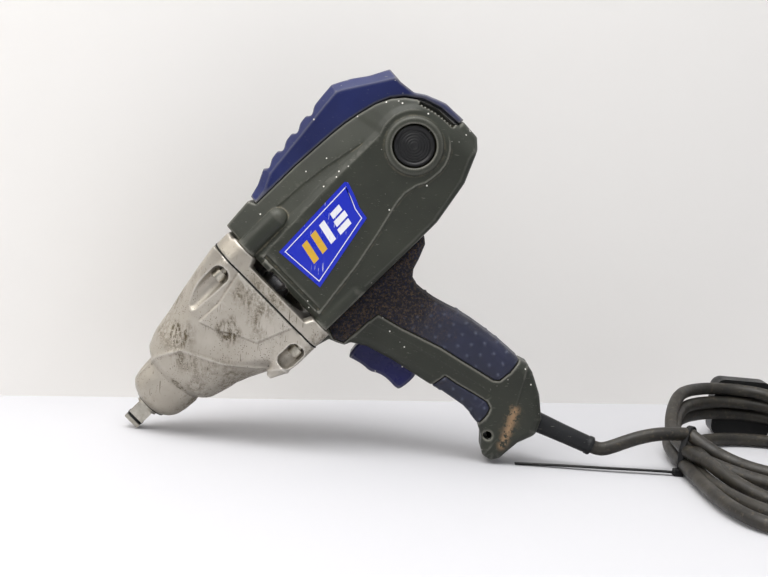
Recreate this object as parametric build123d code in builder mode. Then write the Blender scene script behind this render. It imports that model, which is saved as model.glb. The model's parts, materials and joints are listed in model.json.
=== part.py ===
"""Corded impact wrench, half-inch square drive, standing on its drive tip and heel.

The tool is drawn level: X runs back along the drive axis from the drive tip, Z is the
tool's top and Y its right-hand side. STAND then sets every piece on the ground, with the
origin under the middle of the tool. The cord is drawn where it lies, on the ground.
"""
from build123d import *
from math import acos, asin, atan2, cos, degrees, hypot, pi, radians, sin, tan
import os

os.makedirs("parts", exist_ok=True)

# ---------------------------------------------------------------- driving dimensions (mm)
SQUARE = 12.7             # half-inch square drive, across flats
SQUARE_LENGTH = 15.5
SQUARE_CHAMFER = 1.0
NECK_R = 8.5              # anvil journal
RING_X = 3.2              # friction ring groove, from the drive tip
RING_WIDTH = 2.2
RING_DEPTH = 0.9

CASE_FRONT = 18.5         # hammer case nose face
NOSE_R = 22.6
STEP_X = 45.5             # where the nose steps out to the body
CASE_BORE_R = 34.0        # bore for hammer, ring gear and gear case spigot
CASE_REAR = 138.6         # joint face to the gasket
CASE_WIDTH = 84.0
CASE_TOP = 47.0
CASE_BOTTOM = -49.0
CASE_CORNER = 16.0
GASKET = 1.0
PLATE = 7.0               # gear case flange
BOSS_REAR = 153.0         # gear case bosses meet the motor housing here

SCREW_TOP = (35.5, 30.0)  # case screws: distance from the middle plane, height
SCREW_LOW = (33.5, -44.5)
BOSS_R = 8.0
SCREW_HEAD_X = 124.0
SCREW_HEAD_R = 4.6
SCREW_HEAD_L = 5.0
SCREW_R = 2.5
CHANNEL_X = 93.0          # front end of each screwdriver channel
CHANNEL_R = 5.4

BARREL_HALF = 41.0        # half width of the motor housing
HOUSING_REAR = 322.0
SPINE_HALF = 27.0         # half width of the top cover
SHELL = 3.2               # moulded wall
STATOR_R = 37.4
MOTOR_BORE_R = STATOR_R + 0.4
CAP_X = 285.4             # brush axis
CAP_R = 14.6
CAP_RING_R = CAP_R + 5.4
CAP_BORE_R = CAP_R + 0.6

GRIP_HALF = 18.5          # half width of the handle
GRIP_ROUND = 8.0
PAD_DEPTH = 2.2
TOE = (174.6, -196.2)     # centre of the rounded heel toe
TOE_R = 7.8
LANYARD = (180.5, -184.5)
LANYARD_R = 3.0

MODULE = 1.0
PRESSURE = radians(25)
SUN_TEETH = 12
PLANET_TEETH = 21
RING_TEETH = SUN_TEETH + 2 * PLANET_TEETH
BACKLASH = 0.12
PLANETS = 3
GEAR_X = 109.0            # front face of the planets
GEAR_WIDTH = 10.0

LUG_X = 57.0              # anvil lugs
LUG_LENGTH = 10.0
LUG_R = 26.5
HAMMER_R = 31.0
HAMMER_X = 68.0           # front face of the hammer, behind its jaws
HAMMER_LENGTH = 24.0
HAMMER_TRAVEL = 9.0       # how far the hammer draws back before its jaws clear the lugs
SPINDLE_R = 11.0
SPRING_WIRE = 3.4
SPRING_R = 18.0
CAM_BALL_R = 3.0
CAM_X = 74.0

SHAFT_R = 5.0
FAN_X = 157.0
FAN_LENGTH = 13.0
FAN_R = 33.0
CORE_X = 190.0
CORE_LENGTH = 66.0
CORE_R = 23.4
AIR_GAP = 0.6
COMM_X = 274.0
COMM_LENGTH = 23.0
COMM_R = 14.0

TRIGGER_HALF = 11.0
PIN_R = 2.0
TRIGGER_PIVOT = (172.0, -95.0)

RELIEF_START = (210.0, -201.5)
RELIEF_ANGLE = -68.5      # from the drive axis, in the tool's middle plane
RELIEF_LENGTH = 48.0
CORD = 10.0               # rubber cord diameter
RELIEF_R = CORD / 2 + 2.6
RELIEF_TIP_R = CORD / 2 + 1.4

COIL_X = 92.0             # outer half widths of the tied coil
COIL_Y = 158.0
HOLE_X = 46.0             # half widths of the opening inside the coil
HOLE_Y = 96.0
COIL_HEIGHT = 46.0
TIE_WIDTH = 4.8
TIE_THICK = 1.3
TIE_BAND = 24.6           # the tie round the bundle, outside
TIE_HEIGHT = 37.0

SLIP = 0.05               # running fit, radial
FIT = 0.1                 # gap between pieces that only sit together
ROOM = 0.4                # gap beside anything that moves

# ---------------------------------------------------------------- derived places
PLATE_X = CASE_REAR + GASKET
PLANET_ORBIT = MODULE * (SUN_TEETH + PLANET_TEETH) / 2
RING_OUTER_R = CASE_BORE_R
BEARING_X = GEAR_X + GEAR_WIDTH + 5.5
TIP_LOW = SQUARE / 2 - SQUARE_CHAMFER
TOE_REACH = hypot(TOE[0], TOE[1] + TIP_LOW)
STAND_ANGLE = degrees(atan2(-TOE[1] - TIP_LOW, TOE[0]) + asin(TOE_R / TOE_REACH))

SIDE = Plane.XZ           # drawn seen from the left, offset towards the left
SECTION = Plane.YZ        # drawn across the drive axis, offset to the rear
TURN = Axis.X


def gear_outline(teeth, tip, root, slack, turn=0.0):
    """Points of an involute outline with the given tip and root radii."""
    pitch_r = MODULE * teeth / 2
    base_r = pitch_r * cos(PRESSURE)
    half = pi / (2 * teeth) - slack / (2 * pitch_r) + tan(PRESSURE) - PRESSURE
    low = max(root, base_r)
    steps = 5
    flank = []
    for step in range(steps + 1):
        r = low + (tip - low) * step / steps
        roll = acos(base_r / r)
        flank.append((r, half - tan(roll) + roll))
    if root < base_r:
        flank.insert(0, (root, half))
    points = []
    for tooth in range(teeth):
        middle = 2 * pi * tooth / teeth + turn
        for r, spread in flank:
            points.append((r * cos(middle - spread), r * sin(middle - spread)))
        for r, spread in reversed(flank):
            points.append((r * cos(middle + spread), r * sin(middle + spread)))
    return points


def ring_profile(x0, x1, r0, r1):
    """Rectangle of a turned ring, between two stations and two radii."""
    with BuildSketch(SIDE) as profile:
        with Locations(((x0 + x1) / 2, (r0 + r1) / 2)):
            Rectangle(x1 - x0, r1 - r0)
    return profile.sketch


def four_corners():
    """The four case screws, as points across the drive axis."""
    return [(side * y, z) for y, z in (SCREW_TOP, SCREW_LOW) for side in (-1, 1)]


# ---------------------------------------------------------------- hammer case
with BuildPart() as case_blank:
    with BuildSketch(SIDE):
        with BuildLine():
            Polyline((CASE_FRONT, 0), (CASE_FRONT, NOSE_R - 9))
            ThreePointArc((CASE_FRONT, NOSE_R - 9), (CASE_FRONT + 3, NOSE_R - 4),
                          (CASE_FRONT + 9, NOSE_R - 1.3))
            Polyline((CASE_FRONT + 9, NOSE_R - 1.3), (STEP_X, NOSE_R), (STEP_X + 2, NOSE_R + 5))
            ThreePointArc((STEP_X + 2, NOSE_R + 5), (STEP_X + 9, NOSE_R + 11.2),
                          (STEP_X + 23, NOSE_R + 14.8))
            Polyline((STEP_X + 23, NOSE_R + 14.8), (STEP_X + 45, NOSE_R + 21), (STEP_X + 68, NOSE_R + 33),
                     (CASE_REAR, NOSE_R + 40), (CASE_REAR, 0), (CASE_FRONT, 0))
        make_face()
    revolve(axis=TURN)
    with BuildSketch(SECTION.offset(CASE_FRONT)):
        with Locations((0, (CASE_TOP + CASE_BOTTOM) / 2)):
            RectangleRounded(CASE_WIDTH, CASE_TOP - CASE_BOTTOM, CASE_CORNER)
    extrude(amount=CASE_REAR - CASE_FRONT, mode=Mode.INTERSECT)
    with BuildSketch(SECTION.offset(CHANNEL_X)):
        with Locations(*four_corners()):
            Circle(BOSS_R)
    extrude(amount=CASE_REAR - CHANNEL_X)

with BuildPart() as hammer_case:
    add(case_blank.part)
    with BuildSketch(SIDE):
        with BuildLine():
            Polyline((CASE_FRONT - 1, 0), (CASE_FRONT - 1, NECK_R + 4.2), (LUG_X - 3, NECK_R + 4.2),
                     (LUG_X - 3, NOSE_R + 1.5), (LUG_X - 1, LUG_R + ROOM), (LUG_X + 6, HAMMER_R - 0.4),
                     (LUG_X + 12, CASE_BORE_R - 1), (LUG_X + 16, CASE_BORE_R),
                     (CASE_REAR + 1, CASE_BORE_R), (CASE_REAR + 1, 0), (CASE_FRONT - 1, 0))
        make_face()
    revolve(axis=TURN, mode=Mode.SUBTRACT)
    with BuildSketch(SECTION.offset(CHANNEL_X - 30)):
        with Locations(*four_corners()):
            Circle(CHANNEL_R)
    extrude(amount=SCREW_HEAD_X + SCREW_HEAD_L - CHANNEL_X + 30 + 1.2, mode=Mode.SUBTRACT)
    with BuildSketch(SECTION.offset(SCREW_HEAD_X)):
        with Locations(*four_corners()):
            Circle(SCREW_R + FIT)
    extrude(amount=CASE_REAR - SCREW_HEAD_X, mode=Mode.SUBTRACT)

# ---------------------------------------------------------------- gasket and gear case
def flange_outline(plane, grow=0.0):
    """Outline of the joint face: rounded rectangle with four screw ears."""
    with BuildSketch(plane) as outline:
        with Locations((0, (CASE_TOP + CASE_BOTTOM) / 2)):
            RectangleRounded(CASE_WIDTH + 2 * grow, CASE_TOP - CASE_BOTTOM + 2 * grow, CASE_CORNER)
        with Locations(*four_corners()):
            Circle(BOSS_R + grow)
    return outline.sketch


with BuildPart() as case_gasket:
    extrude(flange_outline(SECTION.offset(CASE_REAR)), amount=GASKET)
    with BuildSketch(SECTION.offset(CASE_REAR)):
        Circle(CASE_BORE_R)
        with Locations(*four_corners()):
            Circle(SCREW_R + FIT)
    extrude(amount=GASKET, mode=Mode.SUBTRACT)

with BuildPart() as gear_case:
    extrude(flange_outline(SECTION.offset(PLATE_X)), amount=PLATE)
    with BuildSketch(SECTION.offset(PLATE_X)):
        with Locations(*four_corners()):
            Circle(BOSS_R)
    extrude(amount=BOSS_REAR - PLATE_X - FIT)
    add(ring_profile(BEARING_X - 1.5, PLATE_X, 17.0, CASE_BORE_R - SLIP))
    revolve(axis=TURN)
    add(ring_profile(PLATE_X, BOSS_REAR - 1, 9.0, 22.0))
    revolve(axis=TURN)
    add(ring_profile(BEARING_X - 2, BEARING_X + 9, 0, 18.5))
    add(ring_profile(BEARING_X + 9, PLATE_X + 3.4, 0, 10.5))
    add(ring_profile(PLATE_X + 3.4, BOSS_REAR, 0, 13.0))
    revolve(axis=TURN, mode=Mode.SUBTRACT)
    with BuildSketch(SECTION.offset(PLATE_X)):
        with Locations(*four_corners()):
            Circle(SCREW_R)
    extrude(amount=BOSS_REAR - PLATE_X, mode=Mode.SUBTRACT)

with BuildPart() as case_screws:
    with BuildSketch(SECTION.offset(SCREW_HEAD_X)):
        with Locations(*four_corners()):
            Circle(SCREW_HEAD_R)
    extrude(amount=SCREW_HEAD_L)
    with BuildSketch(SECTION.offset(SCREW_HEAD_X)):
        with Locations(*four_corners()):
            RegularPolygon(2.3, 6)
    extrude(amount=2.5, mode=Mode.SUBTRACT)
    with BuildSketch(SECTION.offset(SCREW_HEAD_X + SCREW_HEAD_L)):
        with Locations(*four_corners()):
            Circle(SCREW_R)
    extrude(amount=BOSS_REAR - 2 - SCREW_HEAD_X - SCREW_HEAD_L)

with BuildPart() as lock_washers:
    with BuildSketch(SECTION.offset(SCREW_HEAD_X + SCREW_HEAD_L)):
        with Locations(*four_corners()):
            Circle(SCREW_HEAD_R - 0.3)
            Circle(SCREW_R + FIT, mode=Mode.SUBTRACT)
    extrude(amount=1.2)

# ---------------------------------------------------------------- anvil and its bush
with BuildPart() as anvil:
    with BuildSketch(SECTION):
        Rectangle(SQUARE, SQUARE)
    extrude(amount=SQUARE_LENGTH)
    chamfer(anvil.faces().sort_by(Axis.X)[0].edges(), SQUARE_CHAMFER)
    add(ring_profile(SQUARE_LENGTH, LUG_X + LUG_LENGTH - 1, 0, NECK_R))
    add(ring_profile(LUG_X, LUG_X + LUG_LENGTH - 1, 0, SPINDLE_R + 3))
    revolve(axis=TURN)
    with BuildSketch(SECTION.offset(LUG_X)):
        SlotOverall(2 * LUG_R, 18, rotation=90)
    extrude(amount=LUG_LENGTH - 1)
    with BuildSketch(SECTION.offset(RING_X)):
        Circle(SQUARE)
        Circle(SQUARE / 2 - RING_DEPTH, mode=Mode.SUBTRACT)
    extrude(amount=RING_WIDTH, mode=Mode.SUBTRACT)
    add(ring_profile(LUG_X - 8, LUG_X + LUG_LENGTH, 0, 5.0 + SLIP))
    revolve(axis=TURN, mode=Mode.SUBTRACT)

with BuildPart() as friction_ring:
    add(ring_profile(RING_X + 0.2, RING_X + RING_WIDTH - 0.2, SQUARE / 2 - RING_DEPTH, SQUARE / 2 + 0.35))
    revolve(axis=TURN)

with BuildPart() as anvil_bush:
    add(ring_profile(CASE_FRONT + 5, LUG_X - 3, NECK_R + SLIP, NECK_R + 4.2))
    revolve(axis=TURN)

with BuildPart() as nose_seal:
    add(ring_profile(CASE_FRONT + 0.6, CASE_FRONT + 4.6, NECK_R + SLIP, NECK_R + 4.2))
    revolve(axis=TURN)

with BuildPart() as anvil_washer:
    add(ring_profile(LUG_X - 2.6, LUG_X - 0.3, NECK_R + SLIP, NOSE_R - 3))
    revolve(axis=TURN)

# ---------------------------------------------------------------- hammer, spring and cam
JAW_WIDTH = 18.0
JAW_LENGTH = 7.0
RECESS = HAMMER_X + HAMMER_LENGTH - CAM_X - CAM_BALL_R - 3.0
with BuildPart() as hammer:
    add(ring_profile(HAMMER_X, HAMMER_X + HAMMER_LENGTH, 0, HAMMER_R))
    revolve(axis=TURN)
    with BuildSketch(SECTION.offset(HAMMER_X - JAW_LENGTH)):
        SlotOverall(2 * (HAMMER_R - 3.4), JAW_WIDTH)
        Circle(SPINDLE_R + 4, mode=Mode.SUBTRACT)
    extrude(amount=JAW_LENGTH)
    add(ring_profile(HAMMER_X - LUG_LENGTH, HAMMER_X + HAMMER_LENGTH + 1, 0, SPINDLE_R + SLIP))
    revolve(axis=TURN, mode=Mode.SUBTRACT)
    add(ring_profile(HAMMER_X + HAMMER_LENGTH - RECESS, HAMMER_X + HAMMER_LENGTH + 1,
                     SPINDLE_R + 1.6, SPRING_R + SPRING_WIRE))
    revolve(axis=TURN, mode=Mode.SUBTRACT)
    add(ring_profile(HAMMER_X - LUG_LENGTH, CAM_X + CAM_BALL_R + ROOM, 0, SPINDLE_R + CAM_BALL_R + ROOM))
    revolve(axis=TURN, mode=Mode.SUBTRACT)

SEAT_X = HAMMER_X + HAMMER_LENGTH - RECESS
with BuildPart() as thrust_balls:
    with Locations(SECTION.offset(SEAT_X + 1.5)):
        with PolarLocations(SPRING_R - 2.4, 20):
            Sphere(1.2)

with BuildPart() as spring_washer:
    add(ring_profile(SEAT_X + 3.0, SEAT_X + 4.6, SPINDLE_R + 2.0, SPRING_R + SPRING_WIRE - ROOM))
    revolve(axis=TURN)

CARRIER_X = GEAR_X - 5.5
with BuildPart() as hammer_spring:
    add(ring_profile(SEAT_X + 4.6, CARRIER_X, SPRING_R - SPRING_WIRE / 2, SPRING_R + SPRING_WIRE / 2))
    revolve(axis=TURN)
    with BuildSketch(SIDE):
        with GridLocations(5.2, 0, 4, 1):
            with Locations(((SEAT_X + 4.6 + CARRIER_X) / 2, SPRING_R + SPRING_WIRE / 2)):
                Rectangle(1.6, 1.6)
    revolve(axis=TURN, mode=Mode.SUBTRACT)

with BuildPart() as cam_spindle:
    add(ring_profile(LUG_X - 6, LUG_X + LUG_LENGTH + 0.5, 0, 5.0))
    add(ring_profile(LUG_X + LUG_LENGTH + 0.5, CARRIER_X, 0, SPINDLE_R))
    add(ring_profile(CARRIER_X, CARRIER_X + 5, 0, 25.0))
    add(ring_profile(BEARING_X - 5, BEARING_X - 1.9, 0, 24.0))
    add(ring_profile(BEARING_X - 5, BEARING_X + 9, 0, 10.0 - 0.01))
    revolve(axis=TURN)
    with BuildSketch(SECTION.offset(CARRIER_X + 5)):
        with PolarLocations(PLANET_ORBIT, PLANETS, start_angle=60):
            Circle(3.2)
    extrude(amount=BEARING_X - 5 - CARRIER_X - 5)
    add(ring_profile(GEAR_X - 2.5, BEARING_X + 10, 0, MODULE * SUN_TEETH / 2 + MODULE + 0.8))
    revolve(axis=TURN, mode=Mode.SUBTRACT)
    with BuildSketch(SECTION.offset(CARRIER_X - 1)):
        with PolarLocations(PLANET_ORBIT, PLANETS):
            Circle(3.0)
    extrude(amount=BEARING_X - CARRIER_X, mode=Mode.SUBTRACT)
    with Locations(SECTION.offset(CAM_X)):
        with PolarLocations(SPINDLE_R, 2, start_angle=90):
            Sphere(CAM_BALL_R + SLIP, mode=Mode.SUBTRACT)

with BuildPart() as cam_balls:
    with Locations(SECTION.offset(CAM_X)):
        with PolarLocations(SPINDLE_R, 2, start_angle=90):
            Sphere(CAM_BALL_R)

with BuildPart() as planet_pins:
    with BuildSketch(SECTION.offset(CARRIER_X)):
        with PolarLocations(PLANET_ORBIT, PLANETS):
            Circle(3.0)
    extrude(amount=BEARING_X - 1.9 - CARRIER_X)

# ---------------------------------------------------------------- planetary gears
planet_gears = []
for index in range(PLANETS):
    around = 2 * pi * index / PLANETS
    spot = Plane(origin=(GEAR_X, PLANET_ORBIT * cos(around), PLANET_ORBIT * sin(around)),
                 x_dir=(0, 1, 0), z_dir=(1, 0, 0))
    pitch_r = MODULE * PLANET_TEETH / 2
    with BuildPart() as planet:
        with BuildSketch(spot):
            with BuildLine():
                Polyline(*gear_outline(PLANET_TEETH, pitch_r + 0.9 * MODULE, pitch_r - 1.2 * MODULE,
                                       BACKLASH, around + pi - pi / PLANET_TEETH), close=True)
            make_face()
            Circle(3.0 + SLIP, mode=Mode.SUBTRACT)
        extrude(amount=GEAR_WIDTH)
    planet_gears.append(planet)

with BuildPart() as ring_gear:
    with BuildSketch(SECTION.offset(GEAR_X - 1)):
        Circle(RING_OUTER_R)
        with BuildLine():
            Polyline(*gear_outline(RING_TEETH, MODULE * RING_TEETH / 2 + 1.2 * MODULE,
                                   MODULE * RING_TEETH / 2 - 0.85 * MODULE, -BACKLASH), close=True)
        make_face(mode=Mode.SUBTRACT)
    extrude(amount=GEAR_WIDTH + 2)


def bearing(plane, bore_r, outer_r, width):
    """Sealed ball bearing as one ring with shallow grooved faces."""
    with BuildPart() as ring:
        with BuildSketch(plane):
            Circle(outer_r)
            Circle(bore_r, mode=Mode.SUBTRACT)
        extrude(amount=width)
        for face in (plane, plane.offset(width - 0.5)):
            with BuildSketch(face):
                Circle(outer_r - 1.6)
                Circle(bore_r + 1.6, mode=Mode.SUBTRACT)
            extrude(amount=0.5, mode=Mode.SUBTRACT)
    return ring


spindle_bearing = bearing(SECTION.offset(BEARING_X), 10.0 + SLIP, 18.5, 9)
front_bearing = bearing(SECTION.offset(PLATE_X + 3.4), SHAFT_R + SLIP, 13.0, 8)
REAR_BEARING_X = COMM_X + COMM_LENGTH + 4
rear_bearing = bearing(SECTION.offset(REAR_BEARING_X), 4.0 + SLIP, 11.0, 7)

# ---------------------------------------------------------------- armature
with BuildPart() as armature_shaft:
    add(ring_profile(GEAR_X + GEAR_WIDTH + 1, COMM_X + COMM_LENGTH + 2, 0, SHAFT_R))
    add(ring_profile(COMM_X + COMM_LENGTH + 2, REAR_BEARING_X + 8, 0, 4.0))
    revolve(axis=TURN)
    with BuildSketch(SECTION.offset(GEAR_X - 1)):
        sun_r = MODULE * SUN_TEETH / 2
        with BuildLine():
            Polyline(*gear_outline(SUN_TEETH, sun_r + 0.9 * MODULE, sun_r - 1.15 * MODULE, BACKLASH),
                     close=True)
        make_face()
    extrude(amount=GEAR_WIDTH + 2.5)

with BuildPart() as armature_core:
    with BuildSketch(SECTION.offset(CORE_X)):
        Circle(CORE_R)
        Circle(SHAFT_R, mode=Mode.SUBTRACT)
        with PolarLocations(CORE_R, 12):
            Rectangle(9, 2.4, mode=Mode.SUBTRACT)
    extrude(amount=CORE_LENGTH)

with BuildPart() as armature_windings:
    for start, length in ((CORE_X - 10, 10), (CORE_X + CORE_LENGTH, 11)):
        with BuildSketch(SECTION.offset(start)):
            Circle(CORE_R - 3)
            Circle(SHAFT_R, mode=Mode.SUBTRACT)
        extrude(amount=length)
    with BuildSketch(SECTION.offset(CORE_X)):
        with PolarLocations(CORE_R - 2.6, 12):
            Rectangle(3.6, 2.4)
    extrude(amount=CORE_LENGTH)

with BuildPart() as commutator:
    with BuildSketch(SECTION.offset(COMM_X)):
        Circle(COMM_R)
        Circle(SHAFT_R, mode=Mode.SUBTRACT)
        with PolarLocations(COMM_R, 24):
            Rectangle(1.6, 0.5, mode=Mode.SUBTRACT)
    extrude(amount=COMM_LENGTH)

with BuildPart() as cooling_fan:
    with BuildSketch(SECTION.offset(FAN_X + FAN_LENGTH - 2.5)):
        Circle(FAN_R)
        Circle(SHAFT_R, mode=Mode.SUBTRACT)
    extrude(amount=2.5)
    with BuildSketch(SECTION.offset(FAN_X)):
        Circle(12)
        Circle(SHAFT_R, mode=Mode.SUBTRACT)
        with PolarLocations(22.4, 11):
            Rectangle(21, 1.8, rotation=14)
    extrude(amount=FAN_LENGTH)

# ---------------------------------------------------------------- stator and brushes
with BuildPart() as stator_core:
    with BuildSketch(SECTION.offset(CORE_X - 1)):
        Circle(STATOR_R)
        Circle(CORE_R + AIR_GAP, mode=Mode.SUBTRACT)
        with PolarLocations(28.8, 2, start_angle=90):
            Rectangle(6, 24, mode=Mode.SUBTRACT)
    extrude(amount=CORE_LENGTH + 2)

with BuildPart() as field_coils:
    for start, length in ((CORE_X - 9, 8), (CORE_X + CORE_LENGTH + 1, 8)):
        with BuildSketch(SECTION.offset(start)):
            Circle(STATOR_R - 2)
            Circle(CORE_R + 1.5, mode=Mode.SUBTRACT)
            Rectangle(2 * STATOR_R, 12, mode=Mode.SUBTRACT)
        extrude(amount=length)

BRUSH_TIP = COMM_R + 0.3
BRUSH_LENGTH = 15.0
HOLDER_FRONT = COMM_R + 2.0
BRUSH_SIZE = (6.4, 8.0)
brush_parts = {}
for name, hand in (("left", 1), ("right", -1)):
    spot = Plane(origin=(CAP_X, 0, 0), x_dir=(1, 0, 0), z_dir=(0, -hand, 0))
    with BuildPart() as holder:
        with BuildSketch(spot.offset(HOLDER_FRONT)):
            Rectangle(13, 15)
            Rectangle(BRUSH_SIZE[0] + 2 * FIT, BRUSH_SIZE[1] + 2 * FIT, mode=Mode.SUBTRACT)
        extrude(amount=BARREL_HALF - SHELL - HOLDER_FRONT)
    with BuildPart() as brush:
        with BuildSketch(spot.offset(BRUSH_TIP)):
            Rectangle(*BRUSH_SIZE)
        extrude(amount=BRUSH_LENGTH)
    with BuildPart() as brush_spring:
        with BuildSketch(spot.offset(BRUSH_TIP + BRUSH_LENGTH)):
            Circle(2.9)
            Circle(2.1, mode=Mode.SUBTRACT)
        extrude(amount=BARREL_HALF - SHELL - BRUSH_TIP - BRUSH_LENGTH)
    with BuildPart() as cap:
        with BuildSketch(spot.offset(BARREL_HALF - SHELL)):
            Circle(CAP_R)
        extrude(amount=SHELL + 1.5)
        with BuildSketch(spot.offset(BARREL_HALF + 0.7)):
            SlotOverall(16, 2.4)
        extrude(amount=0.8, mode=Mode.SUBTRACT)
        outer_face = cap.faces().filter_by(Axis.Y).sort_by(Axis.Y)[-1 if hand < 0 else 0]
        chamfer(outer_face.outer_wire().edges(), 0.6)
    brush_parts["brush_holder_" + name] = holder
    brush_parts["carbon_brush_" + name] = brush
    brush_parts["brush_spring_" + name] = brush_spring
    brush_parts["brush_cap_" + name] = cap

# ---------------------------------------------------------------- motor housing and handle
SPINE_START = 180.0
COVER_END = -11.0
with BuildSketch(SIDE) as barrel_outline:
    with BuildLine():
        Polyline((BOSS_REAR, CASE_BOTTOM), (BOSS_REAR, 52), (SPINE_START - 1, 53.5), (SPINE_START, 47.4),
                 (250, 46))
        ThreePointArc((250, 46), (294, 35.5), (HOUSING_REAR - 6.5, 8))
        Polyline((HOUSING_REAR - 6.5, 8), (HOUSING_REAR - 5, COVER_END), (HOUSING_REAR, COVER_END),
                 (HOUSING_REAR - 1, -27), (HOUSING_REAR - 8, -33), (293, -42.5), (262, -48.6),
                 (240, CASE_BOTTOM), (BOSS_REAR, CASE_BOTTOM))
    make_face()

with BuildSketch(SIDE) as handle_outline:
    with BuildLine():
        Polyline((BOSS_REAR, -46), (BOSS_REAR, CASE_BOTTOM - ROOM), (131, CASE_BOTTOM - ROOM), (132, -52.5),
                 (147, -56.8), (150.5, -64), (156, -69.5), (162, -78.5), (168.5, -99),
                 (173, -119), (175.5, -129.5), (178.8, -139), (182.3, -158), (181.5, -172.5), (177, -182),
                 (169.8, -189.2))
        RadiusArc((169.8, -189.2), (174.0, -204.0), -TOE_R)
        Polyline((174.0, -204.0), (192, -205), (204, -209.4), (207, -209))
        RadiusArc((207, -209), (236.7, -169.5), -60)
        Polyline((236.7, -169.5), (234.2, -161.5), (232.9, -143))
        ThreePointArc((232.9, -143), (228.5, -115), (219.2, -86))
        ThreePointArc((219.2, -86), (219.4, -67), (232, -59.5))
        Polyline((232, -59.5), (246, -54.5), (252, -46), (BOSS_REAR, -46))
    make_face()

with BuildPart() as barrel_blank:
    extrude(barrel_outline.sketch, amount=BARREL_HALF)
    with BuildSketch(SECTION.offset(BOSS_REAR)):
        Polygon((0, 60), (-28, 60), (-33, 48), (-BARREL_HALF, 24), (-BARREL_HALF, -40), (-32, -52), (0, -52),
                align=None)
    extrude(amount=HOUSING_REAR - BOSS_REAR + 1, mode=Mode.INTERSECT)
    with BuildSketch(Plane.XY.offset(-60)):
        Polygon((BOSS_REAR, 0), (BOSS_REAR, 3 - BARREL_HALF), (BOSS_REAR + 5, -BARREL_HALF),
                (CAP_X + 16, -BARREL_HALF), (HOUSING_REAR - 8, -35), (HOUSING_REAR, -22), (HOUSING_REAR, 0),
                align=None)
    extrude(amount=120, mode=Mode.INTERSECT)
    with BuildSketch(SECTION.offset(BOSS_REAR)):
        for y, z in (SCREW_TOP, SCREW_LOW):
            with Locations((-y, z)):
                Circle(BOSS_R)
    extrude(amount=38)
    with BuildSketch(SIDE.offset(BARREL_HALF - 8)):
        with Locations((CAP_X, 0)):
            Circle(CAP_RING_R)
    extrude(amount=8 + 1.8)

with BuildPart() as handle_blank:
    extrude(handle_outline.sketch, amount=GRIP_HALF - GRIP_ROUND)
    for layer, slope in ((0.62, 18), (0.38, 48)):
        extrude(handle_blank.faces().sort_by(Axis.Y)[0], amount=GRIP_ROUND * layer, taper=slope)

with BuildPart() as handle_core:
    extrude(offset(handle_outline.sketch, amount=-PAD_DEPTH, kind=Kind.INTERSECTION, mode=Mode.PRIVATE),
            amount=GRIP_HALF - PAD_DEPTH)

with BuildSketch(SIDE) as rear_pad_outline:
    with BuildLine():
        Polyline((185.5, -67.5), (191, -86.5), (201, -116), (209, -147), (212, -159.5), (216, -162.3),
                 (240, -161), (245, -110), (232, -84), (230, -67.5), (185.5, -67.5))
    make_face()

with BuildSketch(SIDE) as front_pad_outline:
    with BuildLine():
        Polyline((170, -130.5), (188.5, -132.3), (197, -166.5), (195.5, -171), (190.5, -173.3),
                 (170, -174.2), (170, -130.5))
    make_face()

pads = {}
for name, outline in (("rear", rear_pad_outline), ("front", front_pad_outline)):
    with BuildPart() as pad:
        add(handle_blank.part)
        extrude(outline.sketch, amount=GRIP_HALF + 1, mode=Mode.INTERSECT)
        add(handle_core.part, mode=Mode.SUBTRACT)
    pads[name] = pad

BRUSH_ROOM_R = 31.0       # room round the commutator and brush holders
HANDLE_CAVITY = GRIP_HALF - SHELL - PAD_DEPTH
with BuildPart() as housing_blank:
    add(barrel_blank.part)
    add(handle_blank.part)
    add(pads["rear"].part, mode=Mode.SUBTRACT)
    add(pads["front"].part, mode=Mode.SUBTRACT)
    add(ring_profile(BOSS_REAR - 1, CORE_X + CORE_LENGTH + 12, 0, MOTOR_BORE_R))
    add(ring_profile(CORE_X + CORE_LENGTH + 12, REAR_BEARING_X - 2, 0, BRUSH_ROOM_R))
    add(ring_profile(REAR_BEARING_X - 2, REAR_BEARING_X + 8.5, 0, 11.0))
    revolve(axis=TURN, mode=Mode.SUBTRACT)
    with BuildSketch(SIDE):
        with BuildLine():
            Polyline((178, -52), (208, -52), (213, -84), (224, -120), (227, -158), (222, -180), (205, -196),
                     (192, -196), (190, -172), (190, -150), (183, -122), (180, -100), (172, -70), (178, -52))
        make_face()
    extrude(amount=HANDLE_CAVITY, mode=Mode.SUBTRACT)
    with BuildSketch(SIDE):
        Polygon((140, -71), (178, -71), (188, -119), (140, -121.5), align=None)
    extrude(amount=TRIGGER_HALF + ROOM, mode=Mode.SUBTRACT)
    with BuildSketch(SIDE):
        with Locations(TRIGGER_PIVOT):
            Circle(PIN_R)
    extrude(amount=GRIP_HALF - 3, mode=Mode.SUBTRACT)
    with BuildSketch(SIDE):
        with Locations(LANYARD):
            Circle(LANYARD_R)
    extrude(amount=GRIP_HALF, mode=Mode.SUBTRACT)
    with BuildSketch(SIDE.offset(BRUSH_ROOM_R - 7)):
        with Locations((CAP_X, 0)):
            Circle(min(CAP_R, CAP_X - CORE_X - CORE_LENGTH - 12.2))
    extrude(amount=BARREL_HALF, mode=Mode.SUBTRACT)
    with BuildSketch(SIDE.offset(BARREL_HALF - SHELL)):
        with Locations((CAP_X, 0)):
            Circle(CAP_BORE_R)
    extrude(amount=SHELL + 3, mode=Mode.SUBTRACT)

HOUSING_SCREWS = ((164, 41.5), (262, 41), (306, -30), (164, -43.5), (203, -62), (196, -125), (214, -188))
SCREW_SHANK_R = 1.6
HEAD_R = 3.4
HEAD_DEPTH = 6.0
HEAD_LENGTH = 2.4
SCREW_REACH = 10.0        # thread in the left half


def housing_screw_depth(z):
    """Depth of a housing half where a screw of that height goes through."""
    return GRIP_HALF if z < -50 else 33.0


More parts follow.
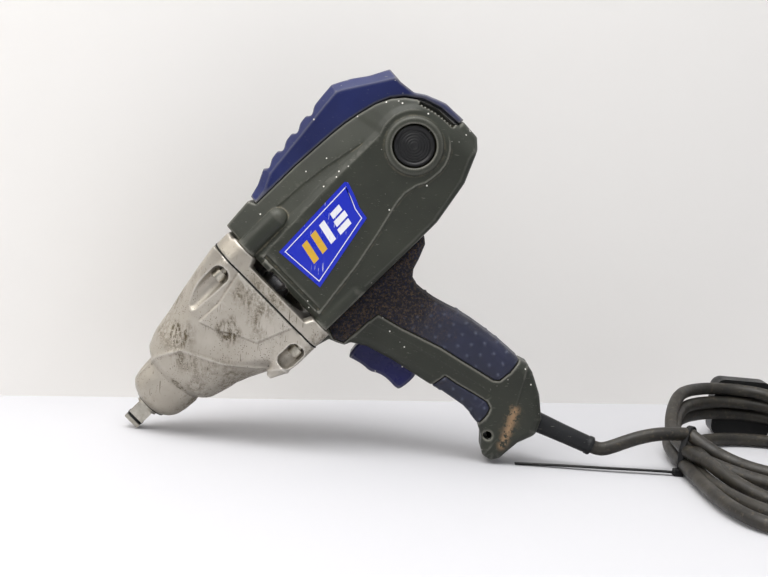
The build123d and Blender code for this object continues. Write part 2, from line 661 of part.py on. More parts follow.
with BuildPart() as housing_shell:
    add(housing_blank.part)
    for x, z in HOUSING_SCREWS:
        with BuildSketch(SIDE):
            with Locations((x, z)):
                Circle(HEAD_R + 1.2)
        extrude(amount=housing_screw_depth(z) - HEAD_DEPTH + 1)

with BuildPart() as screw_set:
    for x, z in HOUSING_SCREWS:
        depth = housing_screw_depth(z) - HEAD_DEPTH
        with BuildSketch(SIDE.offset(depth)):
            with Locations((x, z)):
                Circle(HEAD_R - FIT)
        extrude(amount=HEAD_LENGTH)
        with BuildSketch(SIDE.offset(depth)):
            with Locations((x, z)):
                Circle(SCREW_SHANK_R)
        extrude(amount=-depth - SCREW_REACH)

with BuildPart() as housing_screws:
    mirror(screw_set.part, about=SIDE)

for name in ("rear", "front"):
    with BuildPart() as other_pad:
        mirror(pads[name].part, about=SIDE)
    pads[name + "_right"] = other_pad

# ---------------------------------------------------------------- top cover and label
with BuildPart() as top_cover:
    with BuildSketch(SIDE.offset(-SPINE_HALF)):
        with BuildLine():
            Polyline((SPINE_START + FIT, 46), (SPINE_START + FIT, 54.5), (189, 57), (199, 62), (274, 70.3),
                     (287, 64.2), (310.4, 49.8), (309, 38.5), (311, 25.7), (319, 12.6),
                     (HOUSING_REAR + 0.4, COVER_END + FIT), (305, COVER_END + FIT), (290, 30),
                     (SPINE_START + FIT, 46))
        make_face()
    extrude(amount=2 * SPINE_HALF)
    with BuildSketch(SECTION.offset(SPINE_START)):
        Polygon((6 - SPINE_HALF, 72), (-SPINE_HALF, 56), (-SPINE_HALF, -12), (SPINE_HALF, -12),
                (SPINE_HALF, 56), (SPINE_HALF - 6, 72), align=None)
    extrude(amount=150, mode=Mode.INTERSECT)
    for x in (206, 222, 238, 254):
        with BuildSketch(SIDE.offset(-SPINE_HALF)):
            with Locations((x, 62 + (x - 199) * 0.11 + 2.6)):
                RectangleRounded(9, 6, 2.4, rotation=6)
        extrude(amount=2 * SPINE_HALF, mode=Mode.SUBTRACT)
    with BuildSketch(SIDE.offset(SHELL - SPINE_HALF)):
        Polygon((186, 40), (200, 57.5), (272, 64), (303, 45), (303, 30), (290, 20), align=None)
    extrude(amount=2 * SPINE_HALF - 2 * SHELL, mode=Mode.SUBTRACT)
    for hand in (1, -1):
        extrude(barrel_outline.sketch, amount=hand * BARREL_HALF, mode=Mode.SUBTRACT)

LABEL_THICK = 0.3
with BuildPart() as label:
    with BuildSketch(SIDE.offset(BARREL_HALF)):
        Polygon((168, 13), (235, 16), (236.5, 14), (230, -4), (228.5, -13.5), (171.5, -25), align=None)
    extrude(amount=LABEL_THICK)

# ---------------------------------------------------------------- trigger and switch
with BuildPart() as trigger:
    with BuildSketch(SIDE.offset(-TRIGGER_HALF)):
        with BuildLine():
            Polyline((158, -73), (147.2, -74.8), (149.2, -80), (151, -87))
            ThreePointArc((151, -87), (151.6, -94), (155, -99.5))
            Polyline((155, -99.5), (156.6, -107), (156.3, -116), (159, -118.3), (169, -119), (176, -117.5),
                     (176, -98), (171, -84), (166, -75), (158, -73))
        make_face()
        with Locations(TRIGGER_PIVOT):
            Circle(PIN_R + 2.4)
            Circle(PIN_R + SLIP, mode=Mode.SUBTRACT)
    extrude(amount=2 * TRIGGER_HALF)
    fillet(trigger.edges().filter_by(Axis.Y).group_by(Axis.X)[0], 1.2)

with BuildPart() as trigger_pin:
    with BuildSketch(SIDE.offset(-(GRIP_HALF - 3))):
        with Locations(TRIGGER_PIVOT):
            Circle(PIN_R)
    extrude(amount=2 * (GRIP_HALF - 3))

SWITCH_X = 184.5
with BuildPart() as switch_body:
    with BuildSketch(SIDE.offset(-TRIGGER_HALF)):
        with BuildLine():
            Polyline((SWITCH_X, -76), (210, -76), (213, -84), (219.5, -112), (SWITCH_X + 5, -112),
                     (SWITCH_X, -76))
        make_face()
    extrude(amount=2 * TRIGGER_HALF)

with BuildPart() as trigger_springs:
    for x0, x1, z in ((171.5, SWITCH_X, -79.5), (176.5, SWITCH_X + 4, -110)):
        with BuildSketch(SECTION.offset(x0 + 0.8)):
            with Locations((0, z)):
                Circle(2.6)
                Circle(1.9, mode=Mode.SUBTRACT)
        extrude(amount=x1 - x0 - 1.0)

with BuildPart() as suppressor:
    with BuildSketch(SIDE.offset(-7)):
        with Locations((211.5, -141)):
            RectangleRounded(17, 24, 2, rotation=-8)
    extrude(amount=14)

# ---------------------------------------------------------------- cord clamp and strain relief
relief_way = (cos(radians(RELIEF_ANGLE)), sin(radians(RELIEF_ANGLE)))
RELIEF_PLANE = Plane(origin=(RELIEF_START[0], 0, RELIEF_START[1]), x_dir=(0, 1, 0),
                     z_dir=(relief_way[0], 0, relief_way[1]))
with BuildPart() as strain_relief:
    with BuildSketch(RELIEF_PLANE.offset(-1)):
        Circle(RELIEF_R)
    with BuildSketch(RELIEF_PLANE.offset(RELIEF_LENGTH)):
        Circle(RELIEF_TIP_R)
    loft()
    with BuildSketch(RELIEF_PLANE.offset(RELIEF_LENGTH - 3)):
        Circle(RELIEF_TIP_R + 0.5)
    extrude(amount=3)
    with BuildSketch(RELIEF_PLANE.offset(-11)):
        Circle(RELIEF_R - 1)
    extrude(amount=11)

with BuildPart() as housing_left:
    add(housing_shell.part)
    with BuildSketch(SIDE):
        with Locations(*HOUSING_SCREWS):
            Circle(SCREW_SHANK_R)
    extrude(amount=SCREW_REACH + 1, mode=Mode.SUBTRACT)
    add(strain_relief.part, mode=Mode.SUBTRACT)

with BuildPart() as headed_half:
    add(housing_shell.part)
    for x, z in HOUSING_SCREWS:
        for start, r in ((0, SCREW_SHANK_R), (housing_screw_depth(z) - HEAD_DEPTH, HEAD_R)):
            with BuildSketch(SIDE.offset(start)):
                with Locations((x, z)):
                    Circle(r)
            extrude(amount=BARREL_HALF, mode=Mode.SUBTRACT)

with BuildPart() as housing_right:
    mirror(headed_half.part, about=SIDE)
    add(strain_relief.part, mode=Mode.SUBTRACT)

with BuildPart() as cord_clamp:
    with BuildSketch(SIDE.offset(-12)):
        with Locations((204, -176)):
            Rectangle(15, 8, rotation=RELIEF_ANGLE + 90)
    extrude(amount=24)

# ---------------------------------------------------------------- standing on the ground
tool_pieces = {
    "hammer_case": hammer_case, "case_gasket": case_gasket, "gear_case": gear_case,
    "case_screws": case_screws, "lock_washers": lock_washers,
    "anvil": anvil, "friction_ring": friction_ring, "anvil_bush": anvil_bush, "anvil_washer": anvil_washer,
    "nose_seal": nose_seal,
    "hammer": hammer, "thrust_balls": thrust_balls, "spring_washer": spring_washer,
    "hammer_spring": hammer_spring, "cam_spindle": cam_spindle, "cam_balls": cam_balls,
    "planet_pins": planet_pins, "ring_gear": ring_gear, "spindle_bearing": spindle_bearing,
    "front_bearing": front_bearing, "rear_bearing": rear_bearing,
    "armature_shaft": armature_shaft, "armature_core": armature_core,
    "armature_windings": armature_windings, "commutator": commutator, "cooling_fan": cooling_fan,
    "stator_core": stator_core, "field_coils": field_coils,
    "housing_left": housing_left, "housing_right": housing_right, "housing_screws": housing_screws,
    "rear_grip_left": pads["rear"], "rear_grip_right": pads["rear_right"],
    "front_grip_left": pads["front"], "front_grip_right": pads["front_right"],
    "top_cover": top_cover, "side_label": label,
    "trigger": trigger, "trigger_pin": trigger_pin, "trigger_springs": trigger_springs,
    "switch_body": switch_body, "suppressor": suppressor, "cord_clamp": cord_clamp,
    "strain_relief": strain_relief,
}
tool_pieces.update(brush_parts)
for index, planet in enumerate(planet_gears):
    tool_pieces[f"planet_gear_{index + 1}"] = planet

TURNED = Location((0, 0, 0), (0, -STAND_ANGLE, 0))
tool_box = Compound(children=[TURNED * piece.part for piece in tool_pieces.values()]).bounding_box()
STAND = Location((-tool_box.center().X, 0, -tool_box.min.Z), (0, -STAND_ANGLE, 0))

# ---------------------------------------------------------------- cord, coil, tie and plug
exit_point = (STAND * RELIEF_PLANE.offset(RELIEF_LENGTH).location).position
EXIT_X, EXIT_Z = exit_point.X, exit_point.Z
CORD_ROUTE = [(0, 0, 0), (4.5, 0, -1.5), (9.5, 0.1, -1.2), (15.5, 0.4, 1.0), (24, 1.2, 4.8),
              (35.5, 2.8, 9.3), (49.5, 5.2, 12.6), (64, 8, 13.2)]
points = [Vector(EXIT_X + x, y, EXIT_Z + z) for x, y, z in CORD_ROUTE]
runs = [b - a for a, b in zip(points, points[1:])]
radii = []
for before, after in zip(runs, runs[1:]):
    shorter = min(before.length, after.length)
    radii.append(0.45 * shorter / tan(radians(before.get_angle(after)) / 2))
print("cord radii", [round(r, 1) for r in radii])
with BuildPart() as power_cord:
    with BuildLine() as cord_path:
        FilletPolyline(*points, radius=radii)
    with BuildSketch(Plane(origin=points[0], z_dir=runs[0])):
        Circle(CORD / 2)
    sweep()
cord_length = sum(edge.length for edge in cord_path.edges())
print("cord tube", round(cord_length, 1), "mm, volume ratio",
      round(power_cord.part.volume / (pi * CORD ** 2 / 4 * cord_length), 4))

COIL_CENTRE = (EXIT_X + 62 + COIL_X, 10)
HOLE_SHIFT = (8, 20)      # the turns fan out in front and lie stacked at the back
GROUND = Plane.XY
PLUG_W = 49.0
PLUG_L = 50.0
PLUG_T = 22.0
PLUG_Y = COIL_CENTRE[1] + COIL_Y - 2
with BuildPart() as plug_body:
    with BuildSketch(Plane.XZ.offset(-PLUG_Y)):
        with Locations((COIL_CENTRE[0], PLUG_W / 2)):
            RectangleRounded(PLUG_L, PLUG_W, 9)
    extrude(amount=-PLUG_T)
    chamfer(plug_body.faces().sort_by(Axis.Y)[-1].edges(), 2)

with BuildPart() as plug_pins:
    for dx, dz, wide, tall, long in ((11, 11.1, 4, 6.3, 18), (11, -11.1, 4, 6.3, 18), (-11, 0, 8, 4, 22.7)):
        with BuildSketch(Plane.XZ.offset(-PLUG_Y - PLUG_T)):
            with Locations((COIL_CENTRE[0] + dx, PLUG_W / 2 + dz)):
                Rectangle(wide, tall)
        extrude(amount=-long)

TIE_PLANE = Plane(origin=(COIL_CENTRE[0] - COIL_X + 13.5, COIL_CENTRE[1] + 2, TIE_HEIGHT / 2),
                  x_dir=(0.64, 0.77, 0), z_dir=(0.77, -0.64, 0))
TIE_HEAD = TIE_PLANE.origin - TIE_PLANE.x_dir * (TIE_BAND / 2 + 1)
TIE_TAIL = (EXIT_X - 55, COIL_CENTRE[1] - 19)
with BuildPart() as cable_tie:
    with BuildSketch(TIE_PLANE.offset(-TIE_WIDTH / 2)):
        Rectangle(TIE_BAND, TIE_HEIGHT)
        Rectangle(TIE_BAND - 2 * TIE_THICK, TIE_HEIGHT - 2 * TIE_THICK, mode=Mode.SUBTRACT)
    extrude(amount=TIE_WIDTH)
    with BuildSketch(GROUND):
        with Locations((TIE_HEAD.X, TIE_HEAD.Y)):
            Rectangle(7.4, 6.4)
    extrude(amount=5)
    with BuildSketch(GROUND):
        Polygon((TIE_HEAD.X, TIE_HEAD.Y + TIE_WIDTH / 2), (TIE_HEAD.X, TIE_HEAD.Y - TIE_WIDTH / 2),
                (TIE_TAIL[0], TIE_TAIL[1] - 1), (TIE_TAIL[0], TIE_TAIL[1] + 1), align=None)
    extrude(amount=TIE_THICK)

with BuildPart() as cord_coil:
    with BuildSketch(GROUND):
        with Locations(COIL_CENTRE):
            SlotOverall(2 * COIL_Y, 2 * COIL_X, rotation=90)
            with Locations(HOLE_SHIFT):
                SlotOverall(2 * HOLE_Y, 2 * HOLE_X, rotation=90, mode=Mode.SUBTRACT)
    extrude(amount=COIL_HEIGHT)
    add(power_cord.part, mode=Mode.SUBTRACT)
    add(cable_tie.part, mode=Mode.SUBTRACT)
    add(plug_body.part, mode=Mode.SUBTRACT)

print("exit", round(EXIT_X, 2), round(EXIT_Z, 2), "stand", round(STAND_ANGLE, 3), tool_box)

cord_pieces = {"power_cord": power_cord, "cord_coil": cord_coil, "cable_tie": cable_tie,
               "plug_body": plug_body, "plug_pins": plug_pins}
for name, piece in tool_pieces.items():
    stood = STAND * piece.part
    stood.label = name
    export_step(stood, f"parts/{name}.step")
for name, piece in cord_pieces.items():
    piece.part.label = name
    export_step(piece.part, f"parts/{name}.step")
print(len(tool_pieces) + len(cord_pieces), "pieces")
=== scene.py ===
"""Corded impact wrench with a square drive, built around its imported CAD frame.

Shapes are written in the tool's own millimetres: u runs back along the drive axis from
the drive tip, y to the tool's right, w to its top. place() sets them in the row frame.
The large castings and mouldings are signed distance fields, meshed by surface_net().
"""
import itertools
import json
import math

import bmesh
import bpy
import numpy as np
from mathutils import Matrix, Vector


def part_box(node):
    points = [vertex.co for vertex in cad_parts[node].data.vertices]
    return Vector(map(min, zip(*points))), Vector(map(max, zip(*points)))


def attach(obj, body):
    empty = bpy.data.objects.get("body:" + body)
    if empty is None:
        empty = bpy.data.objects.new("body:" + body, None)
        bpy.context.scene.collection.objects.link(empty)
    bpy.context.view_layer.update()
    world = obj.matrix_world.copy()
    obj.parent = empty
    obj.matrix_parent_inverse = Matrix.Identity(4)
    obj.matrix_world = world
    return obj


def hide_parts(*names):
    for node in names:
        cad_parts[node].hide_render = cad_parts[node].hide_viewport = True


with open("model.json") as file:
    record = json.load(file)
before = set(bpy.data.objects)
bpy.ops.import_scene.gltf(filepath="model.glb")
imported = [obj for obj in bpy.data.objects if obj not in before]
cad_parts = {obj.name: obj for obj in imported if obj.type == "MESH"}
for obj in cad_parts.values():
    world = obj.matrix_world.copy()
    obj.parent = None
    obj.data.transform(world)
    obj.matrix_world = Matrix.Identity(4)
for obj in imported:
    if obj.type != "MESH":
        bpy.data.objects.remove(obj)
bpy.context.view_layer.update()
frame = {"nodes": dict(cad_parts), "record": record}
MOUNTS = {m["name"]: m for m in frame["record"]["mounts"]}

MM = 0.001
TIP = Vector(MOUNTS["drive_end_face"]["pos_m"])
BACK = -Vector(MOUNTS["drive_end_face"]["axis"]).normalized()
RIGHT = Vector((0, 1, 0))
TOP = BACK.cross(RIGHT).normalized()

# ------------------------------------------------------------------ sizes shared by pieces (mm)
CASE_FRONT = 18.5
CASE_REAR = 138.6
CASE_HALF = 42.0
CASE_DRAFT = 0.112        # how fast the case's flanks close in toward the nose
CASE_WALL = 1.2           # least wall round the case's bore
DRIVE_BORE_R = 8.75
GASKET = 1.0
GASKET_BORE_R = 34.0
FLANGE_MIDDLE = -1.0
FLANGE_HALF = 48.2        # half the height of the rear flange
FLANGE_R = 16.0
FLANGE_BORE_R = 30.0
SCREW_BOSS_R = 8.0
HOUSING_FRONT = 153.0
BARREL_HALF = 41.0
SPINE_HALF = 27.0
GRIP_HALF = 18.5
GRIP_ROUND = 8.0
CAP = (285.4, 0.0)
CAP_R = 14.6
SCREW_TOP = (35.5, 30.0)
SCREW_LOW = (33.5, -44.5)
HEAD_R = 3.4
LANYARD = (180.5, -184.5)
LANYARD_R = 3.0
TRIGGER_HALF = 11.0
TRIGGER_ROOM = 0.4
SPINE_BEVEL = 6.0
COVER_WALL = 3.6
DIAGONAL = 0.707          # turns the sum of two distances into the distance to their bevel
PART_GAP = 0.15           # half the joint line between left and right pieces

# ------------------------------------------------------------------ cord facts (mm)
CORD = 10.0
EXIT = (168.46, 0.0, 16.5)
CORD_ROUTE = [(0, 0, 0), (4.5, 0, -1.5), (9.5, 0.1, -1.2), (15.5, 0.4, 1.0), (24, 1.2, 4.8), (35.5, 2.8, 9.3),
              (49.5, 5.2, 12.6), (64, 8, 13.2)]
TIE_SPOT = (242.0, 11.0)
TIE_ACROSS = (0.64, 0.77)     # the way across the bundle at the tie
# each turn: place in the tie (across, height), front reach, fan, right end, back reach, back height
COIL_TURNS = [
    ((0.0, 29.7), 62, 1.75, 374, 146, 41.5),
    ((-5.0, 18.5), 84, 1.35, 384, 150, 30.5),
    ((5.2, 18.8), 108, 1.0, 394, 147, 19.8),
    ((-5.4, 7.6), 150, 0.62, 408, 118, 6.0),
    ((5.0, 6.4), 134, 0.8, 400, 149, 24.0),
]


def place(u, y, w):
    """A point of the tool, in the row frame and in metres."""
    return TIP + (BACK * u + RIGHT * y + TOP * w) * MM


def to_row(points):
    """Tool points (n, 3) in millimetres as row points in metres."""
    basis = np.array([BACK, RIGHT, TOP])
    return np.array(TIP) + points @ basis * MM


# ------------------------------------------------------------------ camera, floor and light
def look(location, right, up, back):
    """Matrix of a camera or light from its axes."""
    m = Matrix((right, up, back)).transposed().to_4x4()
    m.translation = location
    return m


def add_object(name, data):
    """A new object in the scene."""
    made = bpy.data.objects.new(name, data)
    bpy.context.collection.objects.link(made)
    return made


def make_camera():
    """Camera at the viewing angle: pitched down 6 degrees and rolled 5.2 degrees."""
    pitch, roll = math.radians(6.0), math.radians(5.2)
    forward = Vector((0, math.cos(pitch), -math.sin(pitch)))
    level_up = Vector((0, math.sin(pitch), math.cos(pitch)))
    level_right = Vector((1, 0, 0))
    right = math.cos(roll) * level_right + math.sin(roll) * level_up
    up = -math.sin(roll) * level_right + math.cos(roll) * level_up
    aim = Vector((0.0078, 0, 0.1177))
    distance = 0.929
    data = bpy.data.cameras.new("camera")
    data.sensor_width = 36.0
    data.lens = 60.47
    data.clip_start = 0.02
    camera = add_object("camera", data)
    camera.matrix_world = look(aim - forward * distance, right, up, -forward)
    bpy.context.scene.camera = camera


def make_light(name, spot, target, size, power, colour=(1, 1, 1)):
    """A rectangular lamp at a spot, facing its target."""
    data = bpy.data.lights.new(name, "AREA")
    data.shape = "RECTANGLE"
    data.size, data.size_y = size
    data.energy = power
    data.color = colour
    lamp = add_object(name, data)
    back = (Vector(spot) - Vector(target)).normalized()
    right = Vector((0, 0, 1)).cross(back).normalized()
    lamp.matrix_world = look(Vector(spot), right, back.cross(right), back)


def make_stage():
    """Pale floor, and a wall behind it that runs away to the right."""
    turn = math.radians(22)
    along = Vector((math.cos(turn), math.sin(turn), 0))
    across = Vector((-along.y, along.x, 0))
    foot = Vector((-0.284, 0.065, 0))
    for name, profile, colour in (("studio_floor", [(-2.5, 0), (0, 0)], (0.56, 0.56, 0.58, 1)),
                                  ("studio_wall", [(0, 0), (0, 3)], (0.84, 0.82, 0.79, 1))):
        verts = []
        for reach, height in profile:
            for way in (-4, 4):
                verts.append(foot + along * way + across * reach + Vector((0, 0, height)))
        mesh = bpy.data.meshes.new(name)
        mesh.from_pydata(verts, [], [(0, 1, 3, 2)])
        sheet = add_object(name, mesh)
        material = bpy.data.materials.new(name + "_paint")
        material.use_nodes = True
        shader = material.node_tree.nodes["Principled BSDF"]
        shader.inputs["Base Color"].default_value = colour
        shader.inputs["Roughness"].default_value = 0.7
        if name == "studio_wall":
            open_behind(material, shader)
        mesh.materials.append(material)


def open_behind(material, shader):
    """Lets views from behind look through the wall."""
    tree = material.node_tree
    side = tree.nodes.new("ShaderNodeNewGeometry").outputs["Backfacing"]
    clear = tree.nodes.new("ShaderNodeBsdfTransparent").outputs["BSDF"]
    blend = tree.nodes.new("ShaderNodeMixShader")
    for socket, value in zip(blend.inputs, (side, shader.outputs["BSDF"], clear)):
        tree.links.new(value, socket)
    tree.links.new(blend.outputs["Shader"], tree.nodes["Material Output"].inputs["Surface"])


def make_world():
    """Even, slightly cool light from all sides."""
    world = bpy.data.worlds.new("world")
    world.use_nodes = True
    back = world.node_tree.nodes["Background"]
    back.inputs["Color"].default_value = (0.95, 0.96, 1.0, 1)
    back.inputs["Strength"].default_value = 0.46
    bpy.context.scene.world = world
    bpy.context.scene.view_settings.view_transform = "Standard"


make_camera()
make_stage()
make_world()
make_light("window", (-0.9, -0.75, 1.4), (0.05, 0, 0.1), (1.2, 1.2), 22, (1.0, 0.98, 0.95))
make_light("fill", (1.4, -0.9, 0.9), (0.1, 0, 0.1), (1.0, 1.0), 2.5, (0.95, 0.97, 1.0))
make_light("top", (-0.1, -0.25, 1.5), (0.05, 0, 0.1), (1.4, 0.7), 19)


# ------------------------------------------------------------------ materials
class Nodes:
    """A small writer of shader graphs."""

    def __init__(self, name):
        self.material = bpy.data.materials.new(name)
        self.material.use_nodes = True
        self.tree = self.material.node_tree
        self.shader = self.tree.nodes["Principled BSDF"]
        self.coords = self.tree.nodes.new("ShaderNodeTexCoord").outputs["Object"]

    def node(self, kind, **values):
        made = self.tree.nodes.new("ShaderNode" + kind)
        for key, value in values.items():
            setattr(made, key, value)
        return made

    def link(self, out, into):
        self.tree.links.new(out, into)

    def noise(self, scale, detail=4.0, rough=0.55, stretch=None):
        """Noise in the row frame, scale in features per metre."""
        made = self.node("TexNoise")
        made.inputs["Scale"].default_value = scale
        made.inputs["Detail"].default_value = detail
        made.inputs["Roughness"].default_value = rough
        self.link(self.mapped(stretch), made.inputs["Vector"])
        return made.outputs["Fac"]

    def mapped(self, stretch):
        """The row frame's coordinates, squashed and turned by stretch: (scales, angle)."""
        if stretch is None:
            return self.coords
        turn = self.node("Mapping")
        turn.inputs["Rotation"].default_value = (0, stretch[1], 0)
        turn.inputs["Scale"].default_value = stretch[0]
        self.link(self.coords, turn.inputs["Vector"])
        return turn.outputs["Vector"]

    def cells(self, scale):
        """Distance to the nearest of many scattered points."""
        made = self.node("TexVoronoi")
        made.inputs["Scale"].default_value = scale
        self.link(self.coords, made.inputs["Vector"])
        return made.outputs["Distance"]

    def ramp(self, value, low, high, a=0.0, b=1.0):
        """Maps low..high to a..b, clamped."""
        made = self.node("MapRange", clamp=True)
        for key, number in (("From Min", low), ("From Max", high), ("To Min", a), ("To Max", b)):
            made.inputs[key].default_value = number
        self.link(value, made.inputs["Value"])
        return made.outputs["Result"]

    def math(self, operation, a, b):
        made = self.node("Math", operation=operation)
        for socket, value in zip(made.inputs, (a, b)):
            if isinstance(value, (int, float)):
                socket.default_value = value
            else:
                self.link(value, socket)
        return made.outputs["Value"]

    def times(self, a, b):
        return self.math("MULTIPLY", a, b)

    def mix(self, amount, a, b):
        """Colour a where amount is 0 and colour b where it is 1."""
        made = self.node("Mix", data_type="RGBA")
        self.link(amount, made.inputs["Factor"])
        for socket, value in ((made.inputs[6], a), (made.inputs[7], b)):
            if isinstance(value, tuple):
                socket.default_value = srgb(value)
            else:
                self.link(value, socket)
        return made.outputs[2]

    def pointed(self):
        """Dark in creases, bright on edges."""
        return self.node("NewGeometry").outputs["Pointiness"]

    def attribute(self, name):
        return self.node("Attribute", attribute_name=name).outputs["Fac"]

    def finish(self, colour, rough, height, depth, metal=0.0):
        """Links colour and roughness, and a bump of height over depth metres."""
        self.link(colour, self.shader.inputs["Base Color"])
        self.link(rough, self.shader.inputs["Roughness"])
        self.shader.inputs["Metallic"].default_value = metal
        bump = self.node("Bump")
        bump.inputs["Distance"].default_value = depth
        self.link(height, bump.inputs["Height"])
        self.link(bump.outputs["Normal"], self.shader.inputs["Normal"])
        return self.material


def srgb(colour):
    """Linear colour from 0-255 display values."""
    out = []
    for c in colour:
        c /= 255
        out.append(c / 12.92 if c <= 0.04045 else ((c + 0.055) / 1.055) ** 2.4)
    return (*out, 1.0)


def plastic(name, base, light, rough=(0.38, 0.55), worn=True, wear=(150, 148, 138)):
    """Moulded plastic with fine grain and scuffs and, where worn, pale edges, dust and paint specks."""
    n = Nodes(name)
    n.shader.inputs["Specular IOR Level"].default_value = 0.3
    cloud = n.noise(22, 5)
    colour = n.mix(n.ramp(cloud, 0.3, 0.7), base, light)
    scuffs = n.ramp(n.noise(260, 3, 0.7, ((1, 1, 5), 0.9)), 0.66, 0.72)
    colour = n.mix(n.times(scuffs, 0.35), colour, wear)
    if worn:
        edges = n.ramp(n.pointed(), 0.508, 0.55)
        colour = n.mix(n.times(edges, 0.55), colour, wear)
        creases = n.ramp(n.pointed(), 0.46, 0.49, 0.6, 0.0)
        dust = n.times(creases, n.ramp(n.noise(180, 4, 0.7), 0.4, 0.6))
        colour = n.mix(dust, colour, (112, 104, 84))
        tan = n.times(n.attribute("worn"), n.ramp(n.noise(260, 5, 0.75), 0.46, 0.5))
        colour = n.mix(tan, colour, (150, 122, 92))
        dots = n.ramp(n.cells(150), 0.07, 0.10, 1.0, 0.0)
        gate = n.ramp(n.noise(37, 2), 0.47, 0.51)
        colour = n.mix(n.times(dots, gate), colour, (225, 222, 214))
    shine = n.ramp(n.noise(60, 4), 0.3, 0.7, *rough)
    return n.finish(colour, shine, n.noise(2600, 2), 0.00008)


def bare_metal(name, base, dark, rough=(0.28, 0.5)):
    """Machined or plated metal with cloudy stains."""
    n = Nodes(name)
    colour = n.mix(n.ramp(n.noise(140, 5, 0.6), 0.35, 0.7), base, dark)
    shine = n.ramp(n.noise(90, 4), 0.3, 0.7, *rough)
    return n.finish(colour, shine, n.noise(900, 3), 0.00003, 1.0)


def cast_metal():
    """Worn aluminium casting: grime patches, pits, fine scratches, painted shade in creases and in the nose
    groove, and painted highlights on sharp edges.
    """
    n = Nodes("cast_aluminium")
    colour = n.mix(n.ramp(n.noise(18, 4), 0.3, 0.7), (190, 184, 174), (156, 149, 137))
    patch = n.ramp(n.noise(24, 3, 0.5), 0.50, 0.62)
    fine = n.ramp(n.noise(380, 6, 0.8), 0.41, 0.53)
    drawn = n.ramp(n.noise(300, 4, 0.7, ((1, 1, 0.25), 0.75)), 0.40, 0.55)
    # the stored grime also carries the painted shade in the nose groove
    patch = n.math("MAXIMUM", n.times(patch, 0.75), n.ramp(n.attribute("grime"), 0.25, 0.6))
    grime = n.times(n.times(patch, fine), drawn)
    colour = n.mix(n.times(grime, 0.92), colour, (84, 72, 48))
    pits = n.ramp(n.cells(620), 0.12, 0.24, 1.0, 0.0)
    gate = n.ramp(n.noise(70, 4), 0.46, 0.58)
    colour = n.mix(n.times(pits, gate), colour, (66, 58, 48))
    scratches = ((700, 0.05, 0.5, 0.8), (620, 0.04, -0.3, 0.6), (800, 0.05, 1.3, 0.55))
    for scale, squash, turn, strength in scratches:
        streak = n.ramp(n.noise(scale, 2, 0.5, ((1, 1, squash), turn)), 0.70, 0.73)
        colour = n.mix(n.times(streak, strength), colour, (84, 76, 62))
    # painted shade: creases darkened where shade would fall
    creases = n.ramp(n.pointed(), 0.45, 0.49, 1.0, 0.0)
    hollow = n.times(creases, n.ramp(n.noise(150, 4, 0.7), 0.35, 0.6, 0.35, 1))
    colour = n.mix(hollow, colour, (58, 50, 38))
    # painted highlight: sharp edges lightened toward near white
    bright = n.ramp(n.pointed(), 0.51, 0.56)
    colour = n.mix(n.times(bright, 0.5), colour, (226, 223, 216))
    shine = n.ramp(n.math("ADD", grime, n.noise(80, 4)), 0.3, 1.2, 0.30, 0.7)
    height = n.math("ADD", n.times(n.noise(1500, 3), 0.35), n.times(grime, -0.6))
    height = n.math("ADD", height, n.times(n.noise(160, 3), 0.8))
    return n.finish(colour, shine, height, 0.0003, 0.6)


def grip_rubber():
    """Soft blue-black rubber, dusted and browned with grime, with painted highlights on its raised dots."""
    n = Nodes("grip_rubber")
    colour = n.mix(n.ramp(n.noise(40, 4), 0.35, 0.65), (17, 21, 42), (26, 30, 56))
    dirt = n.math("ADD", n.attribute("grime"), n.ramp(n.noise(60, 5, 0.7), 0.5, 0.75, 0.0, 0.5))
    brown = n.mix(n.ramp(n.noise(520, 5, 0.75), 0.46, 0.66), (16, 14, 14), (98, 78, 54))
    caked = n.times(n.ramp(dirt, 0.25, 0.95), n.ramp(n.noise(900, 3, 0.7), 0.38, 0.55))
    colour = n.mix(caked, colour, brown)
    # painted highlight: the raised dots lightened where they would catch the light
    colour = n.mix(n.times(n.attribute("dot"), 0.28), colour, (104, 112, 134))
    pilled = n.times(n.ramp(dirt, 0.3, 0.9), n.noise(600, 4, 0.8))
    height = n.math("ADD", n.times(n.noise(2200, 3), 0.3), pilled)
    return n.finish(colour, n.ramp(dirt, 0.2, 1.0, 0.42, 0.9), height, 0.0009)


def cord_rubber():
    """Matt black sheath with dust on it."""
    n = Nodes("cord_rubber")
    colour = n.mix(n.ramp(n.noise(60, 4), 0.35, 0.65), (24, 22, 18), (45, 41, 33))
    dust = n.ramp(n.noise(300, 5, 0.7), 0.55, 0.72)
    colour = n.mix(n.times(dust, 0.5), colour, (104, 92, 74))
    return n.finish(colour, n.ramp(n.noise(90, 4), 0.3, 0.7, 0.42, 0.62), n.noise(1400, 3), 0.0001)


def label_film():
    """Blue sticker; its pale frame and shapes are stored on the mesh."""
    n = Nodes("label_film")
    colour = n.mix(n.attribute("pale"), (4, 32, 176), (226, 226, 230))
    colour = n.mix(n.attribute("gold"), colour, (206, 164, 48))
    scratch = n.ramp(n.noise(900, 2, 0.5, ((1, 1, 0.1), 0.8)), 0.64, 0.67)
    colour = n.mix(n.times(scratch, n.ramp(n.noise(45, 3), 0.52, 0.6)), colour, (190, 195, 215))
    return n.finish(colour, n.ramp(n.noise(70, 3), 0.3, 0.7, 0.25, 0.4), n.noise(600, 3), 0.00005)


